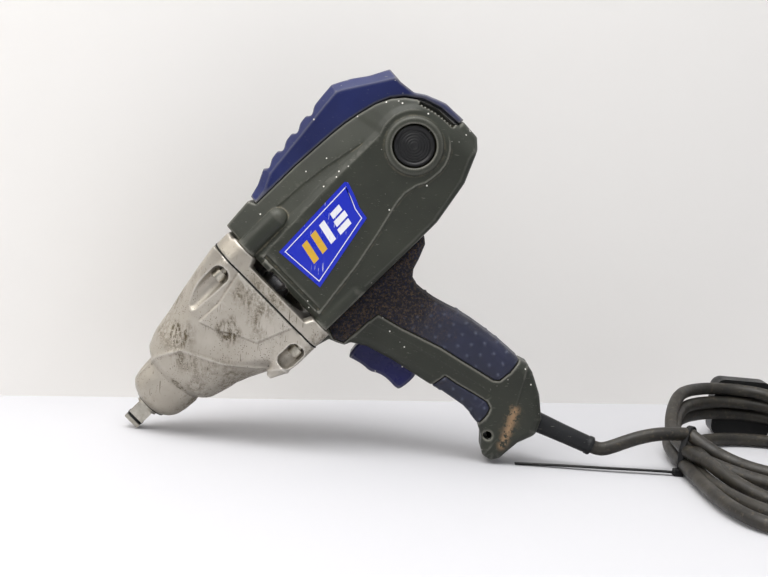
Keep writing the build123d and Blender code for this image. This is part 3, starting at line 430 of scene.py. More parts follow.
MATERIALS = {
    "cast_case": cast_metal(),
    "gasket": plastic("gasket_paper", (22, 21, 20), (32, 30, 28), (0.6, 0.8), worn=False),
    "steel_bright": bare_metal("steel_bright", (190, 186, 176), (142, 136, 124)),
    "steel_dark": bare_metal("steel_dark", (120, 116, 110), (82, 78, 72), (0.35, 0.6)),
    "balls": bare_metal("ball_steel", (205, 205, 205), (180, 180, 180), (0.12, 0.2)),
    "screws": bare_metal("screw_zinc", (196, 192, 180), (120, 112, 98), (0.25, 0.45)),
    "ring_black": plastic("ring_black", (6, 6, 6), (12, 12, 11), (0.4, 0.6), worn=False),
    "bearing": bare_metal("bearing_steel", (182, 182, 182), (150, 150, 150), (0.2, 0.35)),
    "bronze": bare_metal("sintered_bronze", (160, 112, 62), (118, 82, 46), (0.4, 0.6)),
    "lamination": bare_metal("lamination", (128, 124, 120), (92, 88, 84), (0.4, 0.6)),
    "copper": bare_metal("enamelled_copper", (150, 74, 38), (112, 52, 26), (0.3, 0.5)),
    "carbon": plastic("carbon", (34, 34, 36), (48, 48, 50), (0.5, 0.7), worn=False),
    "housing_grey": plastic("housing_grey", (40, 42, 36), (52, 54, 46)),
    "cover_blue": plastic("cover_blue", (17, 25, 70), (27, 36, 86), (0.34, 0.5)),
    "rubber_blue": grip_rubber(),
    "trigger_blue": plastic("trigger_blue", (8, 9, 58), (12, 15, 76), (0.22, 0.36)),
    "black_plastic": plastic("black_plastic", (16, 16, 17), (28, 28, 29), (0.28, 0.45), False, (88, 88, 90)),
    "label": label_film(),
    "relief_rubber": plastic("relief_rubber", (17, 18, 20), (27, 28, 30), (0.42, 0.6), worn=False),
    "cord_rubber": cord_rubber(),
    "tie_nylon": plastic("tie_nylon", (5, 5, 6), (10, 10, 11), (0.5, 0.65), worn=False),
    "plug_black": plastic("plug_black", (10, 10, 11), (18, 18, 18), (0.35, 0.5), worn=False),
    "pins_brass": bare_metal("pin_brass", (196, 168, 96), (150, 124, 66), (0.2, 0.35)),
}


def dress(piece, slot, body, *nodes):
    """Gives a piece the material of its slot and its body, and hides the CAD nodes that it stands for."""
    piece.data.materials.clear()
    piece.data.materials.append(MATERIALS[slot])
    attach(piece, body)
    if nodes:
        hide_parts(*nodes)
    return piece


# ------------------------------------------------------------------ the cord
def smooth_between(a, b, t):
    """Eases from a to b as t goes from 0 to 1."""
    t = min(1.0, max(0.0, t))
    return a + (b - a) * t * t * (3 - 2 * t)


def tied(across):
    """Where a turn passes through the tie, seen from above."""
    return TIE_SPOT[0] + TIE_ACROSS[0] * across, TIE_SPOT[1] + TIE_ACROSS[1] * across


def coil_points():
    """Turns of the tied coil: they leave the tie, fan out in front and lie stacked behind."""
    steps = 16
    points = []
    for number, ((across, height), front, fan, right, behind, lift) in enumerate(COIL_TURNS):
        start = tied(across)
        on_top = number < 2
        wide = right - start[0]
        for step in range(0, steps):
            t = step / (steps - 1)
            x = start[0] + wide * (1 - math.cos(math.pi * t)) / 2
            y = start[1] - front * math.sin(math.pi * t ** fan)
            z = smooth_between(height, CORD / 2 + (9.5 - 1.5 * number if on_top else 0), t / 0.4)
            points.append((x, y, z))
        if number == len(COIL_TURNS) - 1:
            break
        next_height = COIL_TURNS[number + 1][0][1]
        left = 236.0 + 2.5 * (number % 2)
        for step in range(1, steps):
            t = step / steps
            x = right - (right - left) * (1 - math.cos(math.pi * t)) / 2
            y = start[1] + behind * math.sin(math.pi * t ** 0.9) + 14 * t
            lifted = smooth_between(CORD / 2, lift, t / (0.35 if on_top else 0.3))
            z = smooth_between(lifted, next_height, (t - 0.72) / 0.28)
            points.append((x, y, z))
    return points


cord_line = [tuple(a + b for a, b in zip(EXIT, offset)) for offset in CORD_ROUTE]
cord_line += coil_points()
plug_low, plug_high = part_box("plug_body")
plug_entry = (plug_high[0] / MM, (plug_low[1] + plug_high[1]) / 2 / MM, 24.0)
cord_line += [(402, 60, 8), (398, 105, 12), (382, 145, 18), (plug_entry[0] + 12, plug_entry[1] - 1, 23),
              (plug_entry[0] - 2, plug_entry[1], 24)]


def cord_curve(name, points, bevel):
    """A round cord along one smooth NURBS line."""
    curve = bpy.data.curves.new(name, "CURVE")
    curve.dimensions = "3D"
    spline = curve.splines.new("NURBS")
    spline.points.add(len(points) - 1)
    for point, (x, y, z) in zip(spline.points, points):
        point.co = (x * MM, y * MM, z * MM, 1)
    spline.order_u = 3
    spline.use_endpoint_u = True
    spline.resolution_u = 10
    curve.bevel_depth = bevel * MM
    curve.bevel_resolution = 6
    curve.use_fill_caps = True
    return add_object(name, curve)


def spline_length(piece):
    """Length of a cord's middle line, in metres."""
    bare = bpy.data.objects.new("bare", piece.data.copy())
    bare.data.bevel_depth = 0
    mesh = bpy.data.meshes.new_from_object(bare)
    line = [v.co.copy() for v in mesh.vertices]
    bpy.data.meshes.remove(mesh)
    bpy.data.curves.remove(bare.data)
    return sum((b - a).length for a, b in zip(line, line[1:]))


mains_cord = cord_curve("mains_cord", cord_line, CORD / 2)
dress(mains_cord, "cord_rubber", "tool", "power_cord", "cord_coil")
nodes = frame["nodes"]


# ------------------------------------------------------------------ signed distance tools (mm)
def smax(a, b, k):
    """Larger of two distances, with the corner rounded over k."""
    if k <= 0:
        return np.maximum(a, b)
    return np.maximum(a, b) + np.maximum(k - np.abs(a - b), 0) ** 2 / (4 * k)


def smin(a, b, k):
    """Smaller of two distances, with the corner filled over k."""
    return -smax(-a, -b, k)


def polygon_distance(points, across, along):
    """Signed distance to a closed polygon on the grid across x along, negative inside."""
    p = np.array(points, np.float32)
    x, y = across[:, None], along[None, :]
    nearest = np.full((len(across), len(along)), 1e9, np.float32)
    inside = np.zeros(nearest.shape, bool)
    for (ax, ay), (bx, by) in zip(p, np.roll(p, -1, axis=0)):
        ex, ey = bx - ax, by - ay
        t = np.clip(((x - ax) * ex + (y - ay) * ey) / max(ex * ex + ey * ey, 1e-9), 0, 1)
        nearest = np.minimum(nearest, (x - ax - t * ex) ** 2 + (y - ay - t * ey) ** 2)
        if ay != by:
            crosses = ((ay > y) != (by > y)) & (x < (bx - ax) * (y - ay) / (by - ay) + ax)
            inside ^= crosses
    return np.where(inside, -1, 1) * np.sqrt(nearest)


def rounded(points):
    """Cuts a quarter of each side off at a closed polygon's corners."""
    p = np.array(points, float)
    after = np.roll(p, -1, axis=0)
    return np.stack([0.75 * p + 0.25 * after, 0.25 * p + 0.75 * after], axis=1).reshape(-1, 2)


def capsule(u, y, w, u0, u1, yc, wc, r):
    """Distance to a rod with round ends, lying along the drive axis."""
    du = np.maximum(np.maximum(u0 - u, u - u1), 0)
    return np.sqrt(du ** 2 + (y - yc) ** 2 + (w - wc) ** 2) - r


def plate_distance(flat, depth, half, r):
    """Distance to a flat outline given thickness half each side, its edges rounded by r."""
    a, b = flat + r, depth - (half - r)
    return np.sqrt(np.maximum(a, 0) ** 2 + np.maximum(b, 0) ** 2) + np.minimum(np.maximum(a, b), 0) - r


def axes(low, high, step):
    """The three axes of a grid between two corners."""
    return [np.arange(a, b + step, step, dtype=np.float32) for a, b in zip(low, high)]


def surface_net(field, grid):
    """Quads round the zero level of a field, with points on the surface."""
    origin = np.array([axis[0] for axis in grid], float)
    step = float(grid[0][1] - grid[0][0])
    inside = field < 0
    size = np.array(field.shape) - 1
    count = np.zeros(tuple(size), np.int8)
    for i, j, k in itertools.product((0, 1), repeat=3):
        count += inside[i:i + size[0], j:j + size[1], k:k + size[2]]
    cells = np.argwhere((count > 0) & (count < 8))
    number = np.full(tuple(size), -1, np.int64)
    number[tuple(cells.T)] = np.arange(len(cells))
    total = np.zeros((len(cells), 3))
    crossings = np.zeros(len(cells))
    for axis in range(3):
        others = [a for a in range(3) if a != axis]
        for corner in itertools.product((0, 1), repeat=2):
            start = np.zeros(3, int)
            start[others] = corner
            end = start.copy()
            end[axis] = 1
            a = field[tuple((cells + start).T)].astype(float)
            b = field[tuple((cells + end).T)].astype(float)
            hit = (a < 0) != (b < 0)
            spot = np.tile(start.astype(float), (len(cells), 1))
            spot[:, axis] = np.where(hit, a / np.where(hit, a - b, 1), 0)
            total += spot * hit[:, None]
            crossings += hit
    points = origin + step * (cells + total / crossings[:, None])
    faces = []
    for axis in range(3):
        b, c = (axis + 1) % 3, (axis + 2) % 3
        low = [slice(1, -1)] * 3
        high = [slice(1, -1)] * 3
        low[axis], high[axis] = slice(0, -1), slice(1, None)
        change = inside[tuple(low)] != inside[tuple(high)]
        spots = np.argwhere(change)
        solid_first = inside[tuple(low)][tuple(spots.T)]
        spots = spots + [0 if a == axis else 1 for a in range(3)]
        ring = []
        for db, dc in ((-1, -1), (0, -1), (0, 0), (-1, 0)):
            at = spots.copy()
            at[:, b] += db
            at[:, c] += dc
            ring.append(number[tuple(at.T)])
        quad = np.stack(ring, axis=1)
        quad[~solid_first] = quad[~solid_first][:, ::-1]
        faces.append(quad)
    return points, np.concatenate(faces)


def mesh_piece(name, points, faces, keep):
    """A smooth-shaded mesh of tool points (mm), thinned to the share of its faces to keep."""
    mesh = bpy.data.meshes.new(name)
    faces = np.asarray(faces)
    mesh.vertices.add(len(points))
    mesh.vertices.foreach_set("co", to_row(np.asarray(points, float)).astype(np.float32).ravel())
    sides = faces.shape[1]
    mesh.loops.add(faces.size)
    mesh.loops.foreach_set("vertex_index", faces.astype(np.int32).ravel())
    mesh.polygons.add(len(faces))
    mesh.polygons.foreach_set("loop_start", np.arange(0, faces.size, sides, dtype=np.int32))
    mesh.update(calc_edges=True)
    mesh.validate()
    mesh.polygons.foreach_set("use_smooth", np.ones(len(mesh.polygons), bool))
    piece = add_object(name, mesh)
    thin = piece.modifiers.new("thin", "DECIMATE")
    thin.ratio = keep
    done = bpy.data.meshes.new_from_object(piece.evaluated_get(bpy.context.evaluated_depsgraph_get()))
    piece.modifiers.clear()
    piece.data = done
    bpy.data.meshes.remove(mesh)
    done.name = name
    done.polygons.foreach_set("use_smooth", np.ones(len(done.polygons), bool))
    return piece


def field_piece(name, field, grid, keep, flip=False):
    """Meshes a field; flip puts a half that was made outwards from the middle on the left."""
    points, faces = surface_net(field, grid)
    if flip:
        points[:, 1] *= -1
        faces = faces[:, ::-1]
    return mesh_piece(name, points, faces, keep)


def spread_axes(grid):
    """The grid's axes, shaped to combine into one field."""
    u, y, w = grid
    return u[:, None, None], y[None, :, None], w[None, None, :]


def flat_field(points, grid):
    """A side outline's distance, ready to combine with a field over the whole grid."""
    return polygon_distance(points, grid[0], grid[2])[:, None, :]


def within(points, grid, edge):
    """1 inside a side outline and 0 outside it, rising over a band of edge mm."""
    return np.clip(-flat_field(points, grid) / edge, 0, 1)


# ------------------------------------------------------------------ outlines of the tool (mm)
BARREL = [(153, -49), (153, 51.5), (176, 53.3), (179, 47.6), (216.9, 47.3), (249.4, 45.5), (262, 44.2),
          (274, 42), (286.5, 38.8), (296.3, 34.2), (303.7, 28), (310.5, 19), (315, 8), (316.5, -11),
          (321.6, -11.2), (321, -26), (314.7, -32.3), (292.6, -42.3), (273.7, -46), (260.7, -48.4),
          (240, -49)]
BARREL_PLAN = [(140, -10), (152.4, 40.6), (153.6, 43.2), (302, 42.5), (313, 37), (324, 24), (324, -10)]
PANEL_ARC = [(CAP[0] + 24.6 * math.cos(math.radians(a)), 24.6 * math.sin(math.radians(a)))
             for a in range(117, -100, -12)]
PANEL = [(158.5, 18.6), (212.8, 21.2), (262, 21.6), *PANEL_ARC, (273.8, -23.2), (267.7, -20.2),
         (258.5, -18.4), (249.3, -19.5), (224.7, -25.8), (199.9, -31.1), (175, -34.5), (158.5, -37)]
LEAF = [(158, 29), (188, 36.3), (212.7, 35), (231.2, 32.7), (249.6, 29.2), (267, 25.2), (240, 25.6),
        (158, 23.8)]
HANDLE = [(153, -46), (153, -49.4), (131.5, -49.6), (132, -52.3), (146.7, -56.3), (149.3, -62.4),
          (151.9, -67.1), (156, -69.3), (162, -78.5), (168.5, -99), (173, -119), (175.5, -129.5),
          (178.8, -139), (182.3, -157), (182.2, -165), (181.3, -172.5), (176.7, -182.2), (169.8, -189),
          (166.9, -194.5), (168.6, -200.6), (174.3, -203.9), (191.6, -205), (202.6, -208.9),
          (206.1, -209.2), (216.5, -204.2), (227.6, -190.3), (235.3, -175), (236.7, -168.7),
          (234.2, -161.5), (232.9, -143), (230.9, -129.4), (229, -118.4), (226.4, -107.4), (223, -97.8),
          (220.4, -89.5), (218.4, -79.9), (217.8, -73.1), (219.4, -66.5), (224.7, -62), (232.9, -59.3),
          (243, -55), (250, -46)]
REAR_PAD = [(153.5, -49), (150, -58), (153, -65), (176, -66), (185.3, -67.5), (190.5, -86.4), (194.4, -97.2),
            (200.9, -116.1), (204.8, -132.4), (208.6, -147.3), (211.2, -158.1), (213.9, -161.5),
            (223.3, -162.5), (240, -160.8), (248, -110), (240, -80), (254, -56), (254, -49)]
FRONT_PAD = [(168, -130.6), (178.4, -131), (188.6, -132.4), (190.5, -141.9), (195, -158.2), (196.9, -166.4),
             (195.5, -171.1), (190.8, -173.2), (182.6, -173.9), (168, -174)]
HANDLE_FRONT = [(140, -67), (176, -67.5), (181.2, -82.2), (187.7, -101.1), (194.1, -125.4), (200.6, -151.2),
                (203.5, -165), (140, -165)]
HEEL_LINE = [(160, -193.6), (170.8, -193.1), (193.3, -190.3), (206.9, -185.4), (225.9, -174.4), (245, -163),
             (245, -215), (160, -215)]
TRIGGER_HOLE = [(140, -71), (178, -71), (188, -119), (140, -121.5)]
TRIGGER = [(158, -73), (147.2, -74.8), (149.2, -80), (151, -87), (151.2, -93.4), (155, -99.3),
           (156.6, -106.5), (156.2, -116.4), (159.4, -118.2), (169, -119), (175.5, -117.5), (175.5, -98),
           (170.5, -84), (165.5, -75)]
COVER = [(179.1, 47.9), (179.1, 54.3), (188.3, 56.7), (198.9, 61.9), (261.6, 69.2), (273.7, 70.3),
         (280, 67.2), (287, 63.4), (297, 56.4), (310.3, 49.8), (309.4, 38.5), (311, 26.5), (315.5, 20.2),
         (318.8, 12.6), (321.5, 5.9), (322.4, -10.9), (318.4, -10.9), (317, 6), (312.4, 18.8), (304.6, 29),
         (296.8, 35.1), (286.8, 39.4), (274, 42.5), (262, 44.7), (249.4, 45.9), (216.9, 47.7)]
ROOF = [(150, -60), (150, 50), (188.3, 56.7), (198.9, 61.9), (261.6, 69.2), (273.7, 70.3), (280, 67.2),
        (340, 30), (340, -60)]
VENT = [(307.2, 18.5), (311.4, 21), (316.2, 5.5), (317.2, -9), (313.2, -9.5), (312, 3)]
CASE_PANEL = [(142, 23), (112, 16.7), (93, 17.6), (97.5, 5), (104.9, -6.1), (112.4, -21.9), (122.6, -25.6),
              (142, -33)]
CREASE = [(52, 20.8), (69.9, 11.3), (84.3, -15.9), (101.9, -39.1), (112.7, -47.2), (112.7, -80), (-60, -80),
          (-60, 20.8)]
CASE_TOP_R = [(18.5, 11.5), (20, 14.6), (21.5, 17.6), (25.1, 20.7), (28.3, 21.7), (35.7, 22.7),
              (43.5, 23.1), (45.1, 24.3), (47.3, 27.6), (49.8, 30.6), (56.9, 33.6), (62.1, 35.7),
              (69.5, 37.2), (77.8, 38.6), (88, 42), (100, 47), (120, 56), (140, 62)]
CASE_LOW_R = [(18.5, 11), (20.9, 14), (23.2, 16.6), (26.3, 18.8), (28.7, 20), (34.6, 21.2), (47.8, 22.3),
              (49.6, 23.4), (52.7, 26.4), (55.8, 28.4), (65.9, 31.3), (76.3, 34.1), (86.7, 38), (98, 44),
              (110, 51), (125, 58), (140, 62)]
CASE_BORE = [(40, 12.7), (53.9, 12.7), (54, 24.1), (56, 27), (63, 30.8), (69, 31.7), (93, 31.7), (99, 34),
             (141, 34)]
HOUSING_SCREWS = ((164, 41.5), (262, 41), (306, -30), (164, -43.5), (203, -62), (196, -125), (214, -188))


# ------------------------------------------------------------------ hammer case and gear case
def screw_reach(across, w, screw):
    """Distance from the axis of a case screw."""
    return np.hypot(across - screw[0], w - screw[1])


def flange_corner(across, w):
    """Distance to the rear flange's round corners."""
    beside = across - (CASE_HALF - FLANGE_R)
    above = np.abs(w - FLANGE_MIDDLE) - (FLANGE_HALF - FLANGE_R)
    return np.sqrt(np.maximum(beside, 0) ** 2 + np.maximum(above, 0) ** 2) - FLANGE_R


def flange_ears(across, w):
    """Distance to the bosses round the four case screws."""
    return np.minimum(screw_reach(across, w, SCREW_TOP), screw_reach(across, w, SCREW_LOW)) - SCREW_BOSS_R


def case_field(grid):
    """Hammer case: a turned nose that opens into a boxy rear with four screw bosses."""
    u, y, w = spread_axes(grid)
    across = np.abs(y)
    r = np.sqrt(across ** 2 + w ** 2)
    top_r = np.interp(u, *zip(*CASE_TOP_R)).astype(np.float32)
    low_r = np.interp(u, *zip(*CASE_LOW_R)).astype(np.float32)
    limit = (top_r + low_r) / 2 + w / np.maximum(r, 1) * (top_r - low_r) / 2
    body = (r - limit) * 0.86
    body = smax(body, CASE_FRONT - u + np.maximum(r - 10, 0) * 0.1, 1.5)
    raised = within(CASE_PANEL, grid, 1.0) * 1.3
    side = CASE_HALF - CASE_DRAFT * (CASE_REAR - u) + raised - 0.9
    body = smax(body, (across - side) * 0.98, 1.6)
    body = smax(body, w - (38.2 + (u - 74) * 0.143), 3.0)
    body = smax(body, -w - np.interp(u, (76, 98, 103, 107), (34.2, 43.0, 46.2, 49)), 3.0)
    top_boss_r = np.interp(u, (93, 96, 108, 122), (-12, 0, 4, SCREW_BOSS_R))
    low_boss_r = np.interp(u, (98, 101, 111, 122), (-12, 2, 6.6, SCREW_BOSS_R))
    body = smin(body, (screw_reach(across, w, SCREW_TOP) - top_boss_r) * 0.92, 3.0)
    body = smin(body, (screw_reach(across, w, SCREW_LOW) - low_boss_r) * 0.92, 4.0)
    cone = np.interp(u, (44, 47.5, 51), (0, 1, 0)) * 0.9 + np.interp(u, (20, 21.5, 23), (0, 1, 0)) * 0.25
    body = body + cone * np.clip((25.5 - r) / 3, 0, 1)
    body = body - 0.9 * np.exp(-(flat_field(CREASE, grid) / 1.2) ** 2) * (across > 10)
    body = smax(body, -capsule(u, across, w, 99, 127.6, SCREW_TOP[0] + 4.6, SCREW_TOP[1], 6.6), 0.8)
    body = smax(body, -capsule(u, across, w, 119, 127.6, SCREW_LOW[0] + 4.4, SCREW_LOW[1], 6.2), 0.8)
    bore_r = np.interp(u, *zip(*CASE_BORE)).astype(np.float32)
    body = np.maximum(body, -np.maximum(np.maximum(r - bore_r, 24 - u), body + CASE_WALL))
    body = np.maximum(body, DRIVE_BORE_R - r)
    return np.maximum(body, u - CASE_REAR)


def mark_points(piece, name, value):
    """Stores value(u, w) of each point, in tool millimetres, for a material to read."""
    mesh = piece.data
    spots = np.empty(len(mesh.vertices) * 3, np.float32)
    mesh.vertices.foreach_get("co", spots)
    spots = (spots.reshape(-1, 3) - np.array(TIP)) / MM
    layer = mesh.attributes.new(name, "FLOAT", "POINT")
    layer.data.foreach_set("value", value(spots @ np.array(BACK), spots @ np.array(TOP)).astype(np.float32))


def casting_grime_and_groove_shade(u, w):
    """Dirt packed on the side panel and on the shoulder in front of it, and painted shade in the groove at
    the back of the nose.
    """
    panel = np.exp(-((u - 106) / 9) ** 2 - ((w - 1) / 13) ** 2)
    shoulder = np.exp(-((u - 76) / 8) ** 2 - ((w - 20) / 11) ** 2)
    # painted shade: a dark band in the groove at the back of the nose
    nose = 0.8 * np.exp(-((u - 49) / 2.5) ** 2 - ((w + 6) / 9) ** 2)
    return panel + shoulder + nose


def gear_case_field(grid):
    """Gear case: the flange behind the hammer case, deeper at its screws and its crown."""
    u, y, w = spread_axes(grid)
    across = np.abs(y)
    flat = np.maximum(across - CASE_HALF, np.abs(w - FLANGE_MIDDLE) - FLANGE_HALF)
    flat = np.maximum(flat, flange_corner(across, w))
    ears = flange_ears(across, w)
    near_ear = np.clip(1 - (ears - 1) / 4, 0, 1)
    crown = np.clip((w - 30) / 8, 0, 1)
    rear = 146.8 + 6.0 * near_ear * near_ear * (3 - 2 * near_ear) + 4.6 * crown * (1 - near_ear)
    body = smin(flat, ears, 2.0) + 0 * u
    body = smax(body, u - np.minimum(rear, 152.8), 1.2)
    body = smax(body, CASE_REAR + GASKET - u, 0.6)
    return np.maximum(body, FLANGE_BORE_R - np.hypot(across, w))


def gasket_field(grid):
    """Paper gasket that stands a little proud of the joint between the two castings."""
    u, y, w = spread_axes(grid)
    across = np.abs(y)
    body = np.minimum(flange_corner(across, w), flange_ears(across, w)) - 0.35 + 0 * u
    body = np.maximum(body, np.abs(u - CASE_REAR - GASKET / 2) - GASKET / 2)
    return np.maximum(body, GASKET_BORE_R - np.hypot(across, w))


# ------------------------------------------------------------------ motor housing, grips and cover
def handle_field(grid):
    """The handle, a step lower at its heel and along its front."""
    _, y, _ = spread_axes(grid)
    body = plate_distance(flat_field(HANDLE, grid), y, GRIP_HALF, GRIP_ROUND)
    return body + 0.6 * within(HEEL_LINE, grid, 0.8) + 0.5 * within(HANDLE_FRONT, grid, 0.7)


def barrel_field(grid):
    """Outside of the motor housing, with its raised panel, screw bosses, cap rim and vent."""
    u, y, w = spread_axes(grid)
    outline = flat_field(BARREL, grid)
    plan = polygon_distance(BARREL_PLAN, grid[0], grid[1])[:, :, None]
    panel = flat_field(PANEL, grid)
    upper = np.clip((w + 6) / 18, 0, 1)
    upper = upper * upper * (3 - 2 * upper)
    out = np.maximum(panel, 0)
    fall_up = 0.78 * np.minimum(out, 4.2) + 0.41 * np.maximum(out - 4.2, 0)
    fall_low = 0.9 * np.minimum(out, 1.0) + 0.06 * np.maximum(out - 1.0, 0)
    height = BARREL_HALF - upper * fall_up - (1 - upper) * fall_low
    height = height + 0.5 * np.exp(-(panel / 0.8) ** 2) * (1 - upper)
    height = height - 0.9 * within(LEAF, grid, 1.2)
    bar = np.maximum(np.abs(u - 155.4) - 2.6, np.abs(w + 9) - 24.5)
    height = height + 1.6 * np.clip(-bar / 0.9 + 0.4, 0, 1)
    groove = np.maximum(np.abs(u - 159.6) - 1.0, np.abs(w + 9) - 26)
    height = height - 1.6 * np.clip(-groove / 0.6 + 0.5, 0, 1)
    body = smax(outline, plan, 3.0)
    body = smax(body, (y - height) * 0.93, 1.6)
    low_bevel = (outline + y - BARREL_HALF + 5.0) * DIAGONAL - 100 * (w > 8)
    body = smax(body, low_bevel, 0.8)
    body = smin(body, capsule(u, y, w, 150, 183, SCREW_TOP[0], SCREW_TOP[1], 7.6), 1.0)
    body = smin(body, capsule(u, y, w, 150, 186.5, SCREW_LOW[0], SCREW_LOW[1], 7.6), 1.0)
    body = np.maximum(body, HOUSING_FRONT - u)
    r = np.hypot(u - CAP[0], w - CAP[1])
    ring = smax(r - 20.4, y - 43.4, 3.4)
    body = smin(body, ring, 0.8)
    body = smax(body, -np.maximum(r - 15.1, 36.0 - y), 1.0)
    teeth = 0.5 * np.sign(np.sin(w * 2 * math.pi / 2.6))
    vent = np.maximum(flat_field(VENT, grid) + teeth, 18 - y)
    return np.maximum(body, -vent)


def heel_wear(u, w):
    """Chipped band along the rounded heel, where the tool stands and drags."""
    along = np.clip(((u - 183) * 24 + (w + 197) * 12) / (24 ** 2 + 12 ** 2), 0, 1)
    gap = np.hypot(u - 183 - 24 * along, w + 197 - 12 * along)
    return np.exp(-(gap / 2.8) ** 2)


def motor_room(grid):
    """The hollow inside the motor housing and the handle."""
    u, y, w = spread_axes(grid)
    r = np.hypot(y, w)
    room_r = np.where(u < 268, 37.8, np.where(u < 299, 31.0, 11.0))
    room = np.maximum(r - room_r, np.maximum(150 - u, u - 309.5))
    holder = np.maximum(np.maximum(np.abs(u - CAP[0]) - 7.4, np.abs(w) - 8.4), y - 37.9)
    inner = plate_distance(flat_field(HANDLE, grid) + 5.4, y, 13.1, 2.0)
    return np.minimum(np.minimum(room, holder), np.maximum(inner, w + 52))


def housing_field(grid, headed):
    """One half of the motor housing, measured outwards from the middle plane."""
    u, y, w = spread_axes(grid)
    handle = handle_field(grid)
    body = smin(barrel_field(grid), handle, 2.5)
    below = np.maximum(w + 47.5, -handle - 2.1)
    for pad in (REAR_PAD, FRONT_PAD):
        body = smax(body, -np.maximum(flat_field(pad, grid) - 0.3, below), 0.5)
    slot = np.maximum(flat_field(TRIGGER_HOLE, grid), y - TRIGGER_HALF - TRIGGER_ROOM)
    body = smax(body, -slot, 0.8)
    body = np.maximum(body, -motor_room(grid))
    body = smax(body, LANYARD_R - np.hypot(u - LANYARD[0], w - LANYARD[1]) + 0 * y, 0.9)
    if headed:
        for x, z in HOUSING_SCREWS:
            deep = (GRIP_HALF if z < -50 else 33.0) - 6.0
            body = smax(body, -np.maximum(np.hypot(u - x, w - z) - HEAD_R, deep - y), 0.5)
    return np.maximum(body, PART_GAP - y)


def dot_pattern(u, w, spacing=8.6):
    """Staggered rows of small dots along the handle, 1 at each dot's middle."""
    a = math.radians(-66)
    s, t = u * math.cos(a) + w * math.sin(a), -u * math.sin(a) + w * math.cos(a)
    row = np.round(s / spacing)
    ds = s - row * spacing
    t = t + spacing / 2 * (row % 2)
    dt = t - np.round(t / spacing) * spacing
    return np.exp(-(ds ** 2 + dt ** 2) / 1.1)


def grip_dots(grid, region):
    """Raised dots that keep clear of a pad's edge."""
    u, _, w = spread_axes(grid)
    return dot_pattern(u, w) * np.clip(-region - 2.0, 0, 1)


def pad_field(grid, region):
    """One half of a soft pad, laid into its recess in the handle."""
    _, y, w = spread_axes(grid)
    handle = handle_field(grid)
    body = smax(handle - 0.35, region + 0.25, 1.8)
    body = body - 0.85 * grip_dots(grid, region)
    body = smax(body, -handle - 2.0, 0.2)
    body = np.maximum(body, w + 49.3)
    return np.maximum(body, PART_GAP - y)


def web_grime(_, w):
    """Grime is thickest under the motor housing, where the hand's web sits."""
    return np.clip((w + 128) / 48, 0, 1) ** 1.3 * 0.9 + 0.08


def roof_bevel(grid):
    """The bevel between the top cover's roof and its flanks."""
    _, y, _ = spread_axes(grid)
    return (flat_field(ROOF, grid) + np.abs(y) - SPINE_HALF + SPINE_BEVEL) * DIAGONAL


def cover_field(grid):
    """Top cover: a bevelled spine with four slanted notches."""
    u, y, w = spread_axes(grid)
    outline = flat_field(COVER, grid)
    across = np.abs(y)
    body = smax(outline, across - SPINE_HALF, 1.6)
    body = smax(body, roof_bevel(grid), 0.8)
    for number in range(4):
        x = 204.5 + 15.6 * number
        z = 62.4 + (x - 199) * 0.115
        a = math.radians(34)
        du, dw = u - x, w - z - 2.0
        s, t = du * math.cos(a) + dw * math.sin(a), -du * math.sin(a) + dw * math.cos(a)
        notch = np.sqrt(np.maximum(np.abs(s) - 3.2, 0) ** 2 + np.maximum(np.abs(t) - 1.2, 0) ** 2) - 2.6
        body = smax(body, -(notch + 0 * y), 0.9)
    return body


def cavity_cut(body, grid, shrink):
    """Hollows a cover out, leaving a wall."""
    u, y, _ = spread_axes(grid)
    sides = np.maximum(flat_field(COVER, grid), np.abs(y) - SPINE_HALF)
    inner = np.maximum(sides, roof_bevel(grid)) + shrink
    return np.maximum(body, -np.maximum(inner, 188 - u))


STEP = 0.85
case_grid = axes((17, -45, -56), (141, 45, 51), STEP)
casting = field_piece("hammer_case_casting", case_field(case_grid), case_grid, 0.45)
mark_points(casting, "grime", casting_grime_and_groove_shade)
dress(casting, "cast_case", "tool", "hammer_case")
plate_grid = axes((138, -45, -56), (157, 45, 51), STEP)
plate = field_piece("gear_case_casting", gear_case_field(plate_grid), plate_grid, 0.6)
dress(plate, "cast_case", "tool", "gear_case")
gasket_grid = axes((137.8, -45, -56), (140.6, 45, 51), 0.5)
gasket = field_piece("case_gasket_sheet", gasket_field(gasket_grid), gasket_grid, 0.3)
dress(gasket, "gasket", "tool", "case_gasket")

housing_grid = axes((129, -1, -212), (326, 46, 57), STEP)
for hand in ("left", "right"):
    half = housing_field(housing_grid, hand == "right")
    shell = field_piece("housing_shell_" + hand, half, housing_grid, 0.4, hand == "left")
    mark_points(shell, "worn", heel_wear)
    dress(shell, "housing_grey", "tool", "housing_" + hand)

rear_grid = axes((146, -1, -166), (256, 22, -47), 0.6)
front_grid = axes((164, -1, -178), (200, 22, -128), 0.6)
for hand in ("left", "right"):
    for name, grid, region in (("rear_grip_", rear_grid, REAR_PAD), ("front_grip_", front_grid, FRONT_PAD)):
        soft = pad_field(grid, flat_field(region, grid))
        pad = field_piece(name + "pad_" + hand, soft, grid, 0.5, hand == "left")
        mark_points(pad, "grime", web_grime)
        # stores where the rubber's painted dot highlights go
        mark_points(pad, "dot", lambda u, w: dot_pattern(u, w) * np.clip((-78 - w) / 10, 0, 1))
        dress(pad, "rubber_blue", "tool", name + hand)

cover_grid = axes((176, -30, -14), (326, 30, 74), STEP)
cover = cavity_cut(cover_field(cover_grid), cover_grid, COVER_WALL)
dress(field_piece("top_cover_shell", cover, cover_grid, 0.4), "cover_blue", "tool", "top_cover")

trigger_grid = axes((144, -13, -122), (178, 13, -71), 0.6)
trigger_side = np.abs(spread_axes(trigger_grid)[1])
trigger_body = plate_distance(flat_field(rounded(TRIGGER), trigger_grid), trigger_side, TRIGGER_HALF, 2.6)
dress(field_piece("trigger_rocker", trigger_body, trigger_grid, 0.5), "trigger_blue", "trigger", "trigger")


